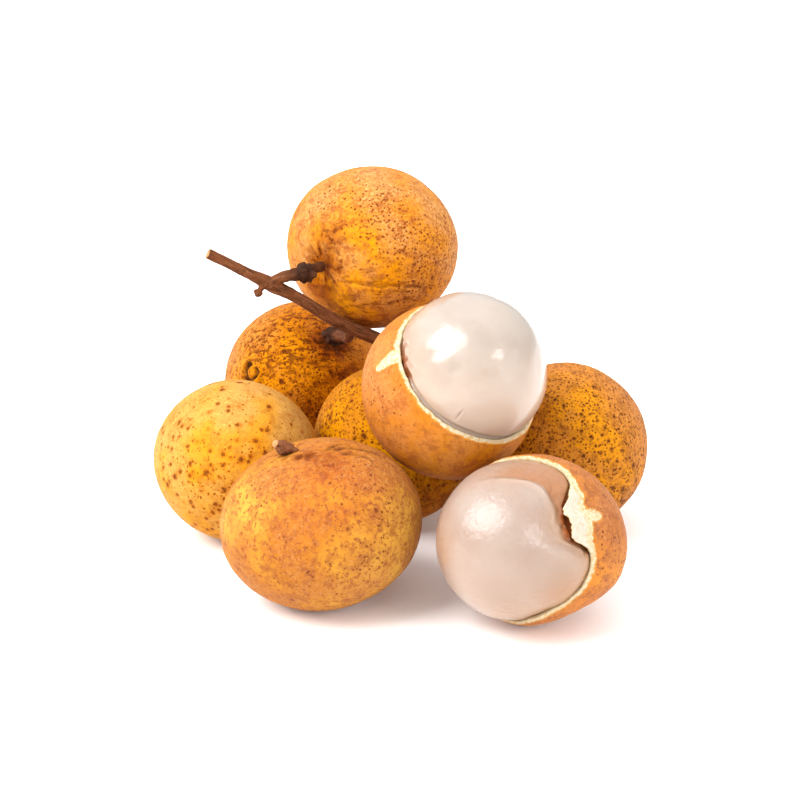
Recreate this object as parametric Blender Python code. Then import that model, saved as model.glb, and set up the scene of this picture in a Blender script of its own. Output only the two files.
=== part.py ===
"""A bunch of longans on a table: six whole fruits, two half-peeled ones and the twig that carries them.

Units are metres and +Z is up. The origin is on the table, in the middle of the space that the bunch takes.
Four of the whole fruits still hang on the twig. The front and left ones have broken off, each with the
stump of its stalk, and both peeled ones lie loose: the lower one on the table, the upper one on top of
the front, centre and lower fruits.
"""
import math

import bmesh
import bpy
from mathutils import Matrix, Vector, noise

MM = 0.001

FIT_GAP = 0.3 * MM
# The further gap under the end of a stalk that meets its fruit at a slant.
SLANT_GAP = 0.25 * MM

# Whole fruits: a thin leathery rind, slightly lumpy, with a shallow dimple where the stalk goes in.
FRUIT_SEGMENTS = 28
FRUIT_RINGS = 16
LUMP_SIZE = 11 * MM
LUMP_HEIGHT = 0.28 * MM
DIMPLE_WIDTH = math.radians(17)

# Each whole fruit is an ellipsoid: its centre, the way its third axis points and its turn about that,
# half its three sizes, the way out to its stalk, and how deep the dimple there is.
FRUITS = {
    "fruit_front": dict(
        centre=Vector((-12.1, -24.8, 12.92)) * MM,
        axis=Vector((-0.20, 0.11, 0.97)),
        turn=math.radians(-20),
        half_sizes=(15.7 * MM, 14.9 * MM, 12.95 * MM),
        stalk=Vector((-0.40, 0.00, 0.92)),
        dimple=0.5 * MM,
        seed=0.0,
        colour=(0.60, 0.30, 0.085),
    ),
    "fruit_left": dict(
        centre=Vector((-26.5, 0.2, 12.85)) * MM,
        axis=Vector((0.35, 0.87, -0.34)),
        turn=math.radians(12),
        half_sizes=(13.7 * MM, 13.1 * MM, 12.6 * MM),
        stalk=Vector((0.35, 0.87, -0.34)),
        dimple=0.7 * MM,
        seed=7.3,
        colour=(0.66, 0.42, 0.12),
    ),
    "fruit_back_left": dict(
        centre=Vector((-16.4, 33.0, 14.05)) * MM,
        axis=Vector((0.34, -0.55, 0.76)),
        turn=0.0,
        half_sizes=(14.3 * MM, 14.3 * MM, 14.1 * MM),
        stalk=Vector((0.34, -0.55, 0.76)),
        dimple=0.9 * MM,
        seed=14.6,
        colour=(0.62, 0.33, 0.05),
    ),
    "fruit_centre": dict(
        centre=Vector((-0.9, 8.1, 12.95)) * MM,
        axis=Vector((0.19, -0.23, 0.95)),
        turn=0.0,
        half_sizes=(13.5 * MM, 13.2 * MM, 13.1 * MM),
        stalk=Vector((0.19, -0.23, 0.95)),
        dimple=0.8 * MM,
        seed=21.9,
        colour=(0.70, 0.40, 0.04),
    ),
    "fruit_right": dict(
        centre=Vector((26.4, 3.4, 13.76)) * MM,
        axis=Vector((-0.65, -0.18, 0.74)),
        turn=math.radians(-65),
        half_sizes=(14.2 * MM, 14.1 * MM, 13.7 * MM),
        stalk=Vector((-0.65, -0.18, 0.74)),
        dimple=0.8 * MM,
        seed=29.2,
        colour=(0.56, 0.30, 0.05),
    ),
    "fruit_top": dict(
        centre=Vector((-4.8, 16.0, 44.0)) * MM,
        axis=Vector((-0.66, -0.75, 0.04)),
        turn=math.radians(7),
        half_sizes=(14.5 * MM, 13.3 * MM, 13.4 * MM),
        stalk=Vector((-0.62, -0.79, 0.01)),
        dimple=1.3 * MM,
        seed=36.5,
        colour=(0.66, 0.36, 0.09),
    ),
}

# Peeled fruits: a cup of rind, torn open on one side, and the egg of flesh that stands out of it.
RIND_SEGMENTS = 40
RIND_RINGS = 13
RIND_WALL = 0.75 * MM
RIM_UNEVENNESS = math.radians(1.2)
FLESH_SEGMENTS = 32
FLESH_RINGS = 18

UPPER_CENTRE = Vector((7.5, -12.1, 29.75)) * MM
UPPER_OPENING = Vector((0.455, -0.480, 0.750))
UPPER_TURN = math.radians(40)
UPPER_RIND_HALF_SIZES = (14.4 * MM, 13.8 * MM, 12.4 * MM)
UPPER_FLESH_CENTRE = Vector((10.9, -16.0, 34.5)) * MM
UPPER_FLESH_RADIUS = 10.75 * MM
UPPER_FLESH_OUTWARD = 11.9 * MM
UPPER_FLESH_INWARD = 15.3 * MM

LOWER_CENTRE = Vector((20.3, -30.7, 12.76)) * MM
LOWER_OPENING = Vector((-0.574, -0.764, 0.297))
LOWER_TURN = 0.0
LOWER_RIND_HALF_SIZES = (13.8 * MM, 12.95 * MM, 13.3 * MM)
LOWER_FLESH_CENTRE = Vector((16.9, -34.7, 14.6)) * MM
LOWER_FLESH_RADIUS = 11.5 * MM
LOWER_FLESH_OUTWARD = 12.0 * MM
LOWER_FLESH_INWARD = 15.0 * MM

# How far round the fruit the torn edge is from the middle of the opening, and where it runs wider or
# narrower than that: the turn about the opening, half the width of the stretch, and how much wider.
UPPER_RIM_ANGLE = math.radians(61)
UPPER_RIM_STRETCHES = [(math.radians(-50), math.radians(85), math.radians(16))]
LOWER_RIM_ANGLE = math.radians(70)
LOWER_RIM_STRETCHES = [
    (math.radians(105), math.radians(60), math.radians(6)),
    (math.radians(-50), math.radians(38), math.radians(-4)),
    (math.radians(-112), math.radians(45), math.radians(4)),
    (math.radians(33), math.radians(26), math.radians(-9)),
]

# The side of the lower rind that has been pressed flatter, and the hollow in the flesh beside the
# tongue of rind: the middle of each, how far it spreads both ways, and its depth.
PRESS_TURN = math.radians(-52)
PRESS_ANGLE = math.radians(105)
PRESS_SPREAD = math.radians(44)
PRESS_DEPTH = 1.3 * MM
HOLLOW_TURN = math.radians(50)
HOLLOW_SPREAD = math.radians(50)
HOLLOW_EDGE = math.radians(68)
HOLLOW_DEPTH = 2.4 * MM

# The twig: its stem comes in from the upper left, runs under the top fruit and forks to four stalks.
TWIG_SIDES = 10
TWIG_STEP = 1.6 * MM
CUT_RADIUS = 0.85 * MM
FORK_RADIUS = 1.15 * MM
STEM_RADIUS = 1.05 * MM
STALK_RADIUS = 0.85 * MM
COLLAR_RADIUS = 1.55 * MM
COLLAR_RISE = 1.6 * MM

# The stump of a stalk that is left on a fruit which has broken off.
STUMP_LENGTH = 2.0 * MM
STUMP_RADIUS = 0.95 * MM
STUMP_COLLAR_RADIUS = 1.7 * MM


def clear_scene():
    for old in list(bpy.data.objects):
        bpy.data.objects.remove(old, do_unlink=True)


def material(name, colour, roughness):
    made = bpy.data.materials.new(name)
    made.use_nodes = True
    shader = made.node_tree.nodes["Principled BSDF"]
    shader.inputs["Base Color"].default_value = (*colour, 1.0)
    shader.inputs["Roughness"].default_value = roughness
    shader.inputs["Metallic"].default_value = 0.0
    return made


def axes_along(direction, turn=0.0):
    """A rotation whose third axis follows direction and whose first one is level before the turn."""
    along = direction.normalized()
    across = Vector((0, 0, 1)).cross(along)
    if across.length < 0.3:
        across = Vector((0, 1, 0)).cross(along)
    across.normalize()
    frame = Matrix((across, along.cross(across), along)).transposed()
    return frame @ Matrix.Rotation(turn, 3, "Z")


def scaled(unit, half_sizes):
    return Vector(part * size for part, size in zip(unit, half_sizes))


def polar(turn_about, from_axis):
    """The unit vector at an angle from the third axis, turned about that axis."""
    across = math.sin(from_axis)
    return Vector((across * math.cos(turn_about), across * math.sin(turn_about), math.cos(from_axis)))


def angle_between(first, second):
    """The signed turn from second to first, between minus and plus half a turn."""
    return (first - second + math.pi) % (2 * math.pi) - math.pi


def hump(distance, half_width):
    """1 in the middle, 0 at half_width and beyond, smooth in between."""
    if abs(distance) >= half_width:
        return 0.0
    return 0.5 + 0.5 * math.cos(math.pi * distance / half_width)


def lump(point, seed):
    return LUMP_HEIGHT * noise.noise(point / LUMP_SIZE + Vector((seed, 0, 0)))


def add_object(name, shape, made):
    mesh = bpy.data.meshes.new(name)
    shape.to_mesh(mesh)
    shape.free()
    mesh.materials.append(made)
    mesh.shade_smooth()
    piece = bpy.data.objects.new(name, mesh)
    bpy.context.collection.objects.link(piece)
    return piece


def unit_sphere(segments, rings):
    shape = bmesh.new()
    bmesh.ops.create_uvsphere(shape, u_segments=segments, v_segments=rings, radius=1.0)
    return shape


def cut_at_table(shape, centre, frame):
    """Cut the rind level with the table, which leaves the small flat spot that it lies on."""
    to_local = frame.inverted()
    cut = bmesh.ops.bisect_plane(
        shape,
        geom=shape.verts[:] + shape.edges[:] + shape.faces[:],
        dist=1e-6,
        plane_co=to_local @ Vector((0, 0, -centre.z)),
        plane_no=to_local @ Vector((0, 0, -1)),
        clear_outer=True,
    )["geom_cut"]
    outline = [part for part in cut if isinstance(part, bmesh.types.BMEdge)]
    if outline:
        bmesh.ops.contextual_create(shape, geom=outline)


def rind_point(fruit, unit):
    """The place on a whole fruit's rind that a point of the unit sphere goes to."""
    place = scaled(unit, fruit["half_sizes"])
    place += unit * lump(place, fruit["seed"])
    to_stalk = axes_along(fruit["axis"], fruit["turn"]).inverted() @ fruit["stalk"].normalized()
    spread = place.angle(to_stalk) / DIMPLE_WIDTH
    return place - to_stalk * fruit["dimple"] * math.exp(-spread ** 2)


def whole_fruit(name, fruit):
    """A slightly lumpy ellipsoid, with a dimple at its stalk and a flat spot where it lies."""
    frame = axes_along(fruit["axis"], fruit["turn"])
    shape = unit_sphere(FRUIT_SEGMENTS, FRUIT_RINGS)
    for corner in shape.verts:
        corner.co = rind_point(fruit, corner.co.normalized())
    cut_at_table(shape, fruit["centre"], frame)
    piece = add_object(name, shape, material(name + "_rind", fruit["colour"], 0.72))
    piece.location = fruit["centre"]
    piece.rotation_euler = frame.to_euler()


def torn_rim(turn_about, rim_angle, stretches):
    """The angle of the torn edge from the middle of the opening, on its way round."""
    edge = rim_angle
    for middle, half_width, wider in stretches:
        edge += wider * hump(angle_between(turn_about, middle), half_width)
    uneven = math.sin(5 * turn_about + 2.1) + 0.6 * math.sin(11 * turn_about)
    return edge + RIM_UNEVENNESS * uneven


def rind_cup(name, centre, opening, turn, half_sizes, rim_angle, stretches, press_depth, colour, seed):
    """The rind that is left on a peeled fruit: a thin cup with a torn edge."""
    frame = axes_along(opening, turn)
    shape = unit_sphere(RIND_SEGMENTS, RIND_RINGS + 1)
    bmesh.ops.delete(shape, geom=[max(shape.verts, key=lambda corner: corner.co.z)], context="VERTS")
    first_ring = math.pi / (RIND_RINGS + 1)
    for corner in shape.verts:
        turn_about = math.atan2(corner.co.y, corner.co.x)
        from_top = math.acos(max(-1.0, min(1.0, corner.co.normalized().z)))
        edge = torn_rim(turn_about, rim_angle, stretches)
        share = (from_top - first_ring) / (math.pi - first_ring)
        from_axis = edge + share * (math.pi - edge)
        unit = polar(turn_about, from_axis)
        place = scaled(unit, half_sizes)
        press = hump(angle_between(turn_about, PRESS_TURN), PRESS_SPREAD)
        press *= hump(from_axis - PRESS_ANGLE, PRESS_SPREAD)
        corner.co = place + unit * (0.5 * lump(place, seed) - press_depth * press)
    cut_at_table(shape, centre, frame)
    cup = add_object(name, shape, material(name + "_rind", colour, 0.70))
    wall = cup.modifiers.new("wall", "SOLIDIFY")
    wall.thickness = RIND_WALL
    wall.offset = -1.0
    wall.use_even_offset = True
    cup.location = centre
    cup.rotation_euler = frame.to_euler()


def flesh_egg(name, centre, opening, turn, radius, outward, inward, hollow_depth, seed):
    """The smooth translucent flesh, round where it stands out and longer where it fills its cup."""
    shape = unit_sphere(FLESH_SEGMENTS, FLESH_RINGS)
    for corner in shape.verts:
        unit = corner.co.normalized()
        place = scaled(unit, (radius, radius, outward if unit.z > 0 else inward))
        beyond = unit.angle(Vector((0, 0, 1))) - HOLLOW_EDGE
        hollow = min(1.0, max(0.0, beyond / math.radians(8)))
        hollow *= hump(angle_between(math.atan2(unit.y, unit.x), HOLLOW_TURN), HOLLOW_SPREAD)
        corner.co = place + unit * (0.2 * lump(place, seed) - hollow_depth * hollow)
    flesh = add_object(name, shape, material(name, (0.80, 0.68, 0.60), 0.25))
    flesh.location = centre
    flesh.rotation_euler = axes_along(opening, turn).to_euler()


def smooth_route(route):
    """Points close together on a smooth curve through the route's own points, with their radii."""
    ends = [route[0]] + route + [route[-1]]
    smooth = []
    for before, start, end, after in zip(ends, ends[1:], ends[2:], ends[3:]):
        steps = max(1, round((end[0] - start[0]).length / TWIG_STEP))
        for step in range(steps):
            t = step / steps
            weights = (
                -0.5 * t + t * t - 0.5 * t ** 3,
                1 - 2.5 * t * t + 1.5 * t ** 3,
                0.5 * t + 2 * t * t - 1.5 * t ** 3,
                -0.5 * t * t + 0.5 * t ** 3,
            )
            point = Vector()
            for weight, neighbour in zip(weights, (before, start, end, after)):
                point += weight * neighbour[0]
            smooth.append((point, start[1] + (end[1] - start[1]) * t))
    smooth.append(route[-1])
    return smooth


def branch(name, route, made):
    """A round branch along a route of points and radii, with flat ends."""
    stations = smooth_route(route)
    shape = bmesh.new()
    side = Vector((0, 0, 1))
    previous = None
    for index, (point, radius) in enumerate(stations):
        ahead = stations[min(index + 1, len(stations) - 1)][0] - stations[max(index - 1, 0)][0]
        side = (side - side.project(ahead)).normalized()
        other = ahead.normalized().cross(side)
        ring = []
        for number in range(TWIG_SIDES):
            angle = 2 * math.pi * number / TWIG_SIDES
            ring.append(shape.verts.new(point + radius * (math.cos(angle) * side + math.sin(angle) * other)))
        if previous is None:
            shape.faces.new(list(reversed(ring)))
        else:
            for number in range(TWIG_SIDES):
                after = (number + 1) % TWIG_SIDES
                shape.faces.new((previous[number], previous[after], ring[after], ring[number]))
        previous = ring
    shape.faces.new(previous)
    return add_object(name, shape, made)


def join_branch(stem, side_branch):
    """Grow a side branch into the stem, and keep it only as a hidden guide."""
    union = stem.modifiers.new(side_branch.name, "BOOLEAN")
    union.operation = "UNION"
    union.solver = "EXACT"
    union.object = side_branch
    side_branch.hide_render = True
    side_branch.display_type = "WIRE"


def dimple_floor(fruit):
    """The point just above the bottom of a fruit's dimple, and the way out from there."""
    frame = axes_along(fruit["axis"], fruit["turn"])
    out = fruit["stalk"].normalized()
    local = frame.inverted() @ out
    unit = Vector(part / size for part, size in zip(local, fruit["half_sizes"])).normalized()
    return fruit["centre"] + frame @ rind_point(fruit, unit) + out * FIT_GAP, out


def stalk_route(places, fruit):
    """A stalk's route through places in millimetres to its collar, just short of a fruit's dimple."""
    floor, out = dimple_floor(fruit)
    end = floor + out * SLANT_GAP
    route = [(Vector(place) * MM, STALK_RADIUS) for place in places]
    before = route[-1][0]
    collar = end + out * COLLAR_RISE
    onward = (collar - before).normalized()
    route.append((collar - onward * 1.2 * MM, STALK_RADIUS * 1.15))
    route.append((collar - onward * 0.3 * MM, COLLAR_RADIUS))
    route.append((collar + onward * 0.4 * MM, COLLAR_RADIUS * 0.95))
    route.append((end, STALK_RADIUS))
    return route


def twig(made):
    """The stem with its cut end, its bud and the four stalks that still hold fruits."""
    fork = (-19.8, 2.3, 41.8)
    over_back_left = (-8.2, 6.0, 33.7)
    meeting = (4.0, 9.2, 27.8)
    stem = branch(
        "twig",
        [
            (Vector((-30.4, 0.6, 48.0)) * MM, CUT_RADIUS),
            (Vector((-24.0, 1.3, 44.4)) * MM, CUT_RADIUS),
            (Vector((-21.5, 1.9, 42.9)) * MM, FORK_RADIUS),
            (Vector(fork) * MM, FORK_RADIUS),
            (Vector((-16.5, 3.3, 39.7)) * MM, STEM_RADIUS * 0.9),
            (Vector((-11.1, 5.0, 35.6)) * MM, STEM_RADIUS),
            (Vector(over_back_left) * MM, STEM_RADIUS),
            (Vector((-2.9, 7.5, 30.9)) * MM, STEM_RADIUS * 1.08),
            (Vector(meeting) * MM, STEM_RADIUS),
        ],
        made,
    )
    stalk_places = {
        "fruit_top": [(-20.9, 2.0, 42.4), (-18.4, 2.7, 43.6)],
        "fruit_back_left": [over_back_left, (-8.6, 10.6, 30.4), (-9.7, 19.0, 27.6)],
        "fruit_centre": [meeting],
        "fruit_right": [(2.4, 8.8, 28.5), (10.0, 7.0, 27.2)],
    }
    for fruit_name, places in stalk_places.items():
        stalk = branch("stalk_to_" + fruit_name, stalk_route(places, FRUITS[fruit_name]), made)
        join_branch(stem, stalk)
    bud = branch(
        "bud",
        [
            (Vector((-21.7, 1.8, 42.8)) * MM, 0.65 * MM),
            (Vector((-22.2, 1.4, 41.9)) * MM, 0.5 * MM),
            (Vector((-22.6, 1.2, 41.2)) * MM, 0.65 * MM),
        ],
        made,
    )
    join_branch(stem, bud)


def stump(name, fruit, made):
    """The short stalk left on a fruit that has broken off: a collar in the dimple and a torn end."""
    foot, out = dimple_floor(fruit)
    route = [
        (foot, STUMP_COLLAR_RADIUS * 0.75),
        (foot + out * 0.5 * MM, STUMP_COLLAR_RADIUS),
        (foot + out * 0.9 * MM, STUMP_RADIUS),
        (foot + out * STUMP_LENGTH, STUMP_RADIUS * 0.9),
    ]
    branch(name, route, made)


def build():
    clear_scene()
    for name, fruit in FRUITS.items():
        whole_fruit(name, fruit)
    rind_cup(
        "rind_upper",
        UPPER_CENTRE,
        UPPER_OPENING,
        UPPER_TURN,
        UPPER_RIND_HALF_SIZES,
        UPPER_RIM_ANGLE,
        UPPER_RIM_STRETCHES,
        press_depth=0.0,
        colour=(0.66, 0.34, 0.08),
        seed=51.0,
    )
    flesh_egg(
        "flesh_upper",
        UPPER_FLESH_CENTRE,
        UPPER_OPENING,
        UPPER_TURN,
        UPPER_FLESH_RADIUS,
        UPPER_FLESH_OUTWARD,
        UPPER_FLESH_INWARD,
        hollow_depth=0.0,
        seed=57.0,
    )
    rind_cup(
        "rind_lower",
        LOWER_CENTRE,
        LOWER_OPENING,
        LOWER_TURN,
        LOWER_RIND_HALF_SIZES,
        LOWER_RIM_ANGLE,
        LOWER_RIM_STRETCHES,
        press_depth=PRESS_DEPTH,
        colour=(0.50, 0.24, 0.10),
        seed=63.0,
    )
    flesh_egg(
        "flesh_lower",
        LOWER_FLESH_CENTRE,
        LOWER_OPENING,
        LOWER_TURN,
        LOWER_FLESH_RADIUS,
        LOWER_FLESH_OUTWARD,
        LOWER_FLESH_INWARD,
        hollow_depth=HOLLOW_DEPTH,
        seed=69.0,
    )
    bark = material("bark", (0.22, 0.085, 0.045), 0.80)
    twig(bark)
    stump("stalk_front", FRUITS["fruit_front"], bark)
    stump("stalk_left", FRUITS["fruit_left"], bark)


build()
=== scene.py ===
"""The finished look of a bunch of longans: six whole fruits and two half-peeled ones round a forked twig.

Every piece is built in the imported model's own frame, in metres, with the table at height zero.
"""
import math

import bmesh
import bpy
import numpy as np
from mathutils import Matrix, Vector, kdtree, noise


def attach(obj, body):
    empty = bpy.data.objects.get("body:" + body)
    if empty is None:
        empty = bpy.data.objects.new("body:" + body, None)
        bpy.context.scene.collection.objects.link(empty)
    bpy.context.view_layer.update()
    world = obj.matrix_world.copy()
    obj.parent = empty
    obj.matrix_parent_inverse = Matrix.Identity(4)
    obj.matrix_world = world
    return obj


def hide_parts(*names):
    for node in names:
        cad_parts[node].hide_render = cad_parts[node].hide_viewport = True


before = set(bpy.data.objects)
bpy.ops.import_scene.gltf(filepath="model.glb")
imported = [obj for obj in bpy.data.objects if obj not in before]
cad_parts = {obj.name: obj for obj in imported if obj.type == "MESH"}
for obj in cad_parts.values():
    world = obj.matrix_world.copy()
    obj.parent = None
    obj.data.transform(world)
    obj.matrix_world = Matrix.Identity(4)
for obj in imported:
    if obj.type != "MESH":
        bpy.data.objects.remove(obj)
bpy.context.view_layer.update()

MM = 0.001


# The whole fruits. Each longan is a ball of juicy flesh in a thin, dry, leathery rind. The rind shrinks as
# it dries, so it is faintly lumpy, dull, freckled with corky pores, and drawn in where the stalk enters.
# Four hang on the twig, and the front and left ones have broken off it and lie on the table.
LUMP_SIZE = 11 * MM
LUMP_HEIGHT = 0.28 * MM
GRAIN_SIZE = 1.1 * MM
GRAIN_HEIGHT = 0.035 * MM
DIMPLE_WIDTH = math.radians(17)
VIEW_RISE = math.radians(21.24)
TO_RIGHT = Vector((1, 0, 0))
TO_TOP = Vector((0, math.sin(VIEW_RISE), math.cos(VIEW_RISE)))
TO_FRONT = Vector((0, -math.cos(VIEW_RISE), math.sin(VIEW_RISE)))

# Each fruit's shape is an ellipsoid: its centre and half its three sizes in millimetres, the way its third
# axis points, its turn about that, the way out to its stalk, and how deep the dimple there is. The patches
# say where a mark of the rind is strong: how far right and up of the middle of the fruit's front that is,
# as shares of its radius, how many degrees it spreads, and how strong it is. Creases run through such places.
# The tan patches on the rims and tops are partly the rind's weathered tone and partly painted sheen, and
# some stain patches are painted shade where the twig or other fruits shade the rind.
FRUITS = {
    "fruit_front": dict(
        centre=(-12.1, -24.8, 12.92), axis=(-0.20, 0.11, 0.97), turn=-20, half=(15.7, 14.9, 12.95),
        stalk=(-0.40, 0.00, 0.92), dimple=0.5, seed=0.0,
        ground="#A86214", tan="#A46C34", yellow="#C29038", mottle="#804226", mottling=0.58, grains=0.90, flecks=0.60, crease_depth=0.36,
        bloom="#BA8A54", freckle="#5C2B0F", dots=0.03, spots=0.03, streaks=0.05, tans=0.18, yellows=0.12,
        patches=dict(
            tan=[(-0.20, 0.72, 32, 0.55), (0.75, 0.45, 30, 0.55), (0.92, -0.2, 22, 0.5), (0.1, -0.85, 30, 0.35)],
            yellow=[(-0.80, 0.20, 24, 0.85), (-0.35, -0.25, 30, 0.20), (0.62, -0.50, 30, 0.95), (0.85, 0.0, 20, 0.75)],
            red=[(0.10, 0.62, 24, 0.85), (-0.15, 0.30, 26, 0.50), (0.30, 0.20, 20, 0.5), (0.45, 0.50, 20, 0.5)],
            # Stain beside the stump, partly painted shade of the dimple, and a wider patch of painted shade on the top.
            stain_and_shade=[(-0.14, 0.81, 6.5, 0.80), (-0.23, 0.80, 5, 0.9), (0.06, 0.74, 15, 0.42)],
            dots=[(0.45, -0.33, 12, 0.45), (0.55, 0.30, 22, 0.30), (-0.65, 0.40, 14, 0.25), (0.0, -0.6, 26, 0.20)],
            spots=[(0.36, -0.02, 12, 0.2), (0.60, 0.18, 14, 0.2), (-0.2, -0.75, 16, 0.2)],
        ),
        creases=[
            [(-0.02, 0.86), (0.06, 0.86), (0.19, 0.855), (0.38, 0.835), (0.51, 0.79), (0.64, 0.72), (0.78, 0.58)],
            [(0.06, 0.86), (0.13, 0.885), (0.24, 0.905), (0.34, 0.90)],
            [(0.22, 0.80), (0.36, 0.78), (0.50, 0.72), (0.58, 0.66)],
        ],
    ),
    "fruit_left": dict(
        centre=(-26.5, 0.2, 12.85), axis=(0.35, 0.87, -0.34), turn=12, half=(13.7, 13.1, 12.6),
        stalk=(0.35, 0.87, -0.34), dimple=0.7, seed=7.3,
        ground="#C08A2A", tan="#B68648", yellow="#C88408", mottle="#9A601C", mottling=0.55, grains=0.45, flecks=0.50,
        bloom="#D2AA58", halo="#A85604", freckle="#5E2C0C", spot_size=1.18,
        dots=0.10, spots=0.30, streaks=0.0, tans=0.22, yellows=0.15,
        patches=dict(
            tan=[(-0.85, 0.30, 35, 0.5), (0.10, 0.80, 35, 0.6), (0.75, 0.35, 22, 0.75)],
            yellow=[(-0.20, -0.40, 32, 0.95), (0.30, 0.05, 24, 0.55), (-0.15, -0.75, 25, 0.8), (0.85, 0.1, 16, 0.4)],
            spots=[(-0.38, -0.25, 38, 1.05), (0.10, 0.15, 26, 0.75), (-0.15, -0.7, 32, 1.05), (-0.30, 0.45, 20, 0.6)],
            dots=[(-0.65, 0.05, 30, 0.25), (-0.10, -0.55, 26, 0.35), (0.1, 0.2, 20, 0.25)],
        ),
        creases=[],
    ),
    "fruit_back_left": dict(
        centre=(-16.4, 33.0, 14.05), axis=(0.34, -0.55, 0.76), turn=0, half=(14.3, 14.3, 14.1),
        stalk=(0.34, -0.55, 0.76), dimple=0.9, seed=14.6,
        ground="#B86A00", tan="#B2743A", yellow="#C67C00", mottle="#824004", mottling=0.65, grains=0.50, flecks=0.40,
        bloom="#CC9218", freckle="#4C1C02", streak="#4E1C02", run=(0.40, 1.0, 1.0), dash=0.64,
        dots=0.35, spots=0.16, streaks=0.25, tans=0.06, yellows=0.45,
        patches=dict(
            tan=[(-0.92, 0.25, 26, 0.95), (-0.70, 0.68, 20, 0.7)],
            yellow=[(-0.20, 0.05, 30, 0.6), (-0.3, 0.4, 20, 0.4)],
            streaks=[(-0.30, 0.52, 32, 1.0), (-0.05, 0.75, 30, 0.9), (0.15, 0.45, 24, 0.9)],
            dots=[(0.08, 0.10, 30, 1.0), (0.05, -0.20, 26, 1.0), (0.15, 0.45, 18, 0.7)],
            spots=[(0.05, -0.25, 22, 0.9), (-0.15, 0.2, 20, 0.5)],
            # These stain patches are mostly painted shade, where the top fruit and the twig shade this fruit from
            # above.
            stain_and_shade=[(0.33, 0.50, 17, 1.0), (0.55, 0.0, 26, 0.66), (0.30, -0.45, 28, 0.62), (-0.02, 0.82, 22, 0.42)],
        ),
        creases=[],
        scar=(-0.65, 0.11),
    ),
    "fruit_centre": dict(
        centre=(-0.9, 8.1, 12.95), axis=(0.19, -0.23, 0.95), turn=0, half=(13.5, 13.2, 13.1),
        stalk=(0.19, -0.23, 0.95), dimple=0.8, seed=21.9,
        ground="#BE7402", tan="#B06E20", yellow="#C58000", mottle="#7E4208", mottling=0.45, grains=0.35, flecks=0.30,
        bloom="#CE9420", freckle="#512206",
        dots=0.60, spots=0.40, streaks=0.05, tans=0.08, yellows=0.45,
        patches=dict(dots=[(-0.4, 0.25, 40, 0.8)], spots=[(-0.85, 0.30, 25, 0.9)], yellow=[(-0.5, 0.4, 30, 0.6)],
                     # The stain patch is painted shade low on this fruit, under the peeled fruit and the top fruit.
                     stain_and_shade=[(0.5, -0.7, 32, 0.6)]),
        creases=[],
    ),
    "fruit_right": dict(
        centre=(26.4, 3.4, 13.76), axis=(-0.65, -0.18, 0.74), turn=-65, half=(14.2, 14.1, 13.7),
        stalk=(-0.65, -0.18, 0.74), dimple=0.8, seed=29.2,
        ground="#B67010", tan="#B27036", yellow="#CA8210", mottle="#7A4414", mottling=0.55, grains=0.45, flecks=0.35,
        bloom="#CC9248", freckle="#44190A",
        dots=0.70, spots=0.12, streaks=0.05, tans=0.12, yellows=0.15,
        patches=dict(
            tan=[(0.80, 0.55, 28, 0.9), (0.10, 0.95, 26, 0.8), (0.97, 0.0, 24, 0.8), (0.88, -0.4, 20, 0.7)],
            yellow=[(0.24, 0.45, 24, 0.8), (0.45, 0.10, 24, 0.7), (0.35, -0.45, 28, 0.8)],
            dots=[(-0.25, 0.10, 36, 1.0), (0.30, 0.30, 36, 0.8), (-0.3, 0.6, 26, 0.9)],
            spots=[(0.52, -0.10, 36, 0.60), (-0.05, 0.35, 20, 0.40), (0.5, -0.6, 30, 0.75)],
            stain_and_shade=[(-0.25, 0.42, 9, 0.35), (-0.30, -0.05, 14, 0.15)],
        ),
        creases=[],
    ),
    "fruit_top": dict(
        centre=(-4.8, 16.0, 44.0), axis=(-0.66, -0.75, 0.04), turn=7, half=(14.5, 13.3, 13.4),
        stalk=(-0.62, -0.79, 0.01), dimple=1.3, seed=36.5,
        ground="#BE7212", tan="#B57C42", yellow="#CC8202", mottle="#86421A", mottling=0.68, grains=0.58, flecks=0.65,
        bloom="#D0A268", freckle="#5C240A", rays=0.95, crease_depth=0.15,
        dots=0.06, spots=0.0, streaks=0.12, tans=0.25, yellows=0.12,
        patches=dict(
            tan=[(-0.45, 0.70, 38, 0.7), (0.10, 0.85, 30, 0.8), (0.75, 0.45, 28, 0.8), (0.95, 0.0, 22, 0.7)],
            yellow=[(0.05, -0.20, 26, 0.8), (-0.60, 0.05, 20, 0.95), (0.0, -0.60, 32, 0.95), (-0.65, -0.45, 20, 0.9)],
            dots=[(0.08, 0.40, 19, 0.95), (0.68, -0.15, 26, 1.0), (0.58, -0.40, 18, 1.0), (0.35, 0.1, 20, 0.80),
                  (-0.5, 0.55, 14, 0.5)],
            spots=[(0.62, -0.34, 16, 0.45)],
            streaks=[(0.0, -0.72, 26, 0.75), (0.35, -0.6, 20, 0.6), (-0.35, -0.25, 14, 0.8), (-0.45, 0.1, 14, 0.7)],
            # Stain round the stalk, with painted shade: the twig's cast shadow below the stalk and the shaded belly.
            stain_and_shade=[(-0.60, -0.25, 13, 0.80), (-0.62, -0.56, 12, 0.95), (-0.50, 0.05, 14, 0.60), (-0.42, -0.30, 8, 0.6),
                   (0.0, -0.98, 26, 0.50)],
        ),
        creases=[[(-0.44, -0.42), (-0.33, -0.456), (-0.19, -0.47), (-0.05, -0.479), (0.11, -0.487), (0.34, -0.479),
                  (0.56, -0.479), (0.78, -0.495)]],
    ),
}


def linear(hex_colour):
    """An sRGB hex colour as the linear values that a shader works in."""
    parts = [int(hex_colour[at:at + 2], 16) / 255 for at in (1, 3, 5)]
    return (*[part / 12.92 if part < 0.04045 else ((part + 0.055) / 1.055) ** 2.4 for part in parts], 1.0)


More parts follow.
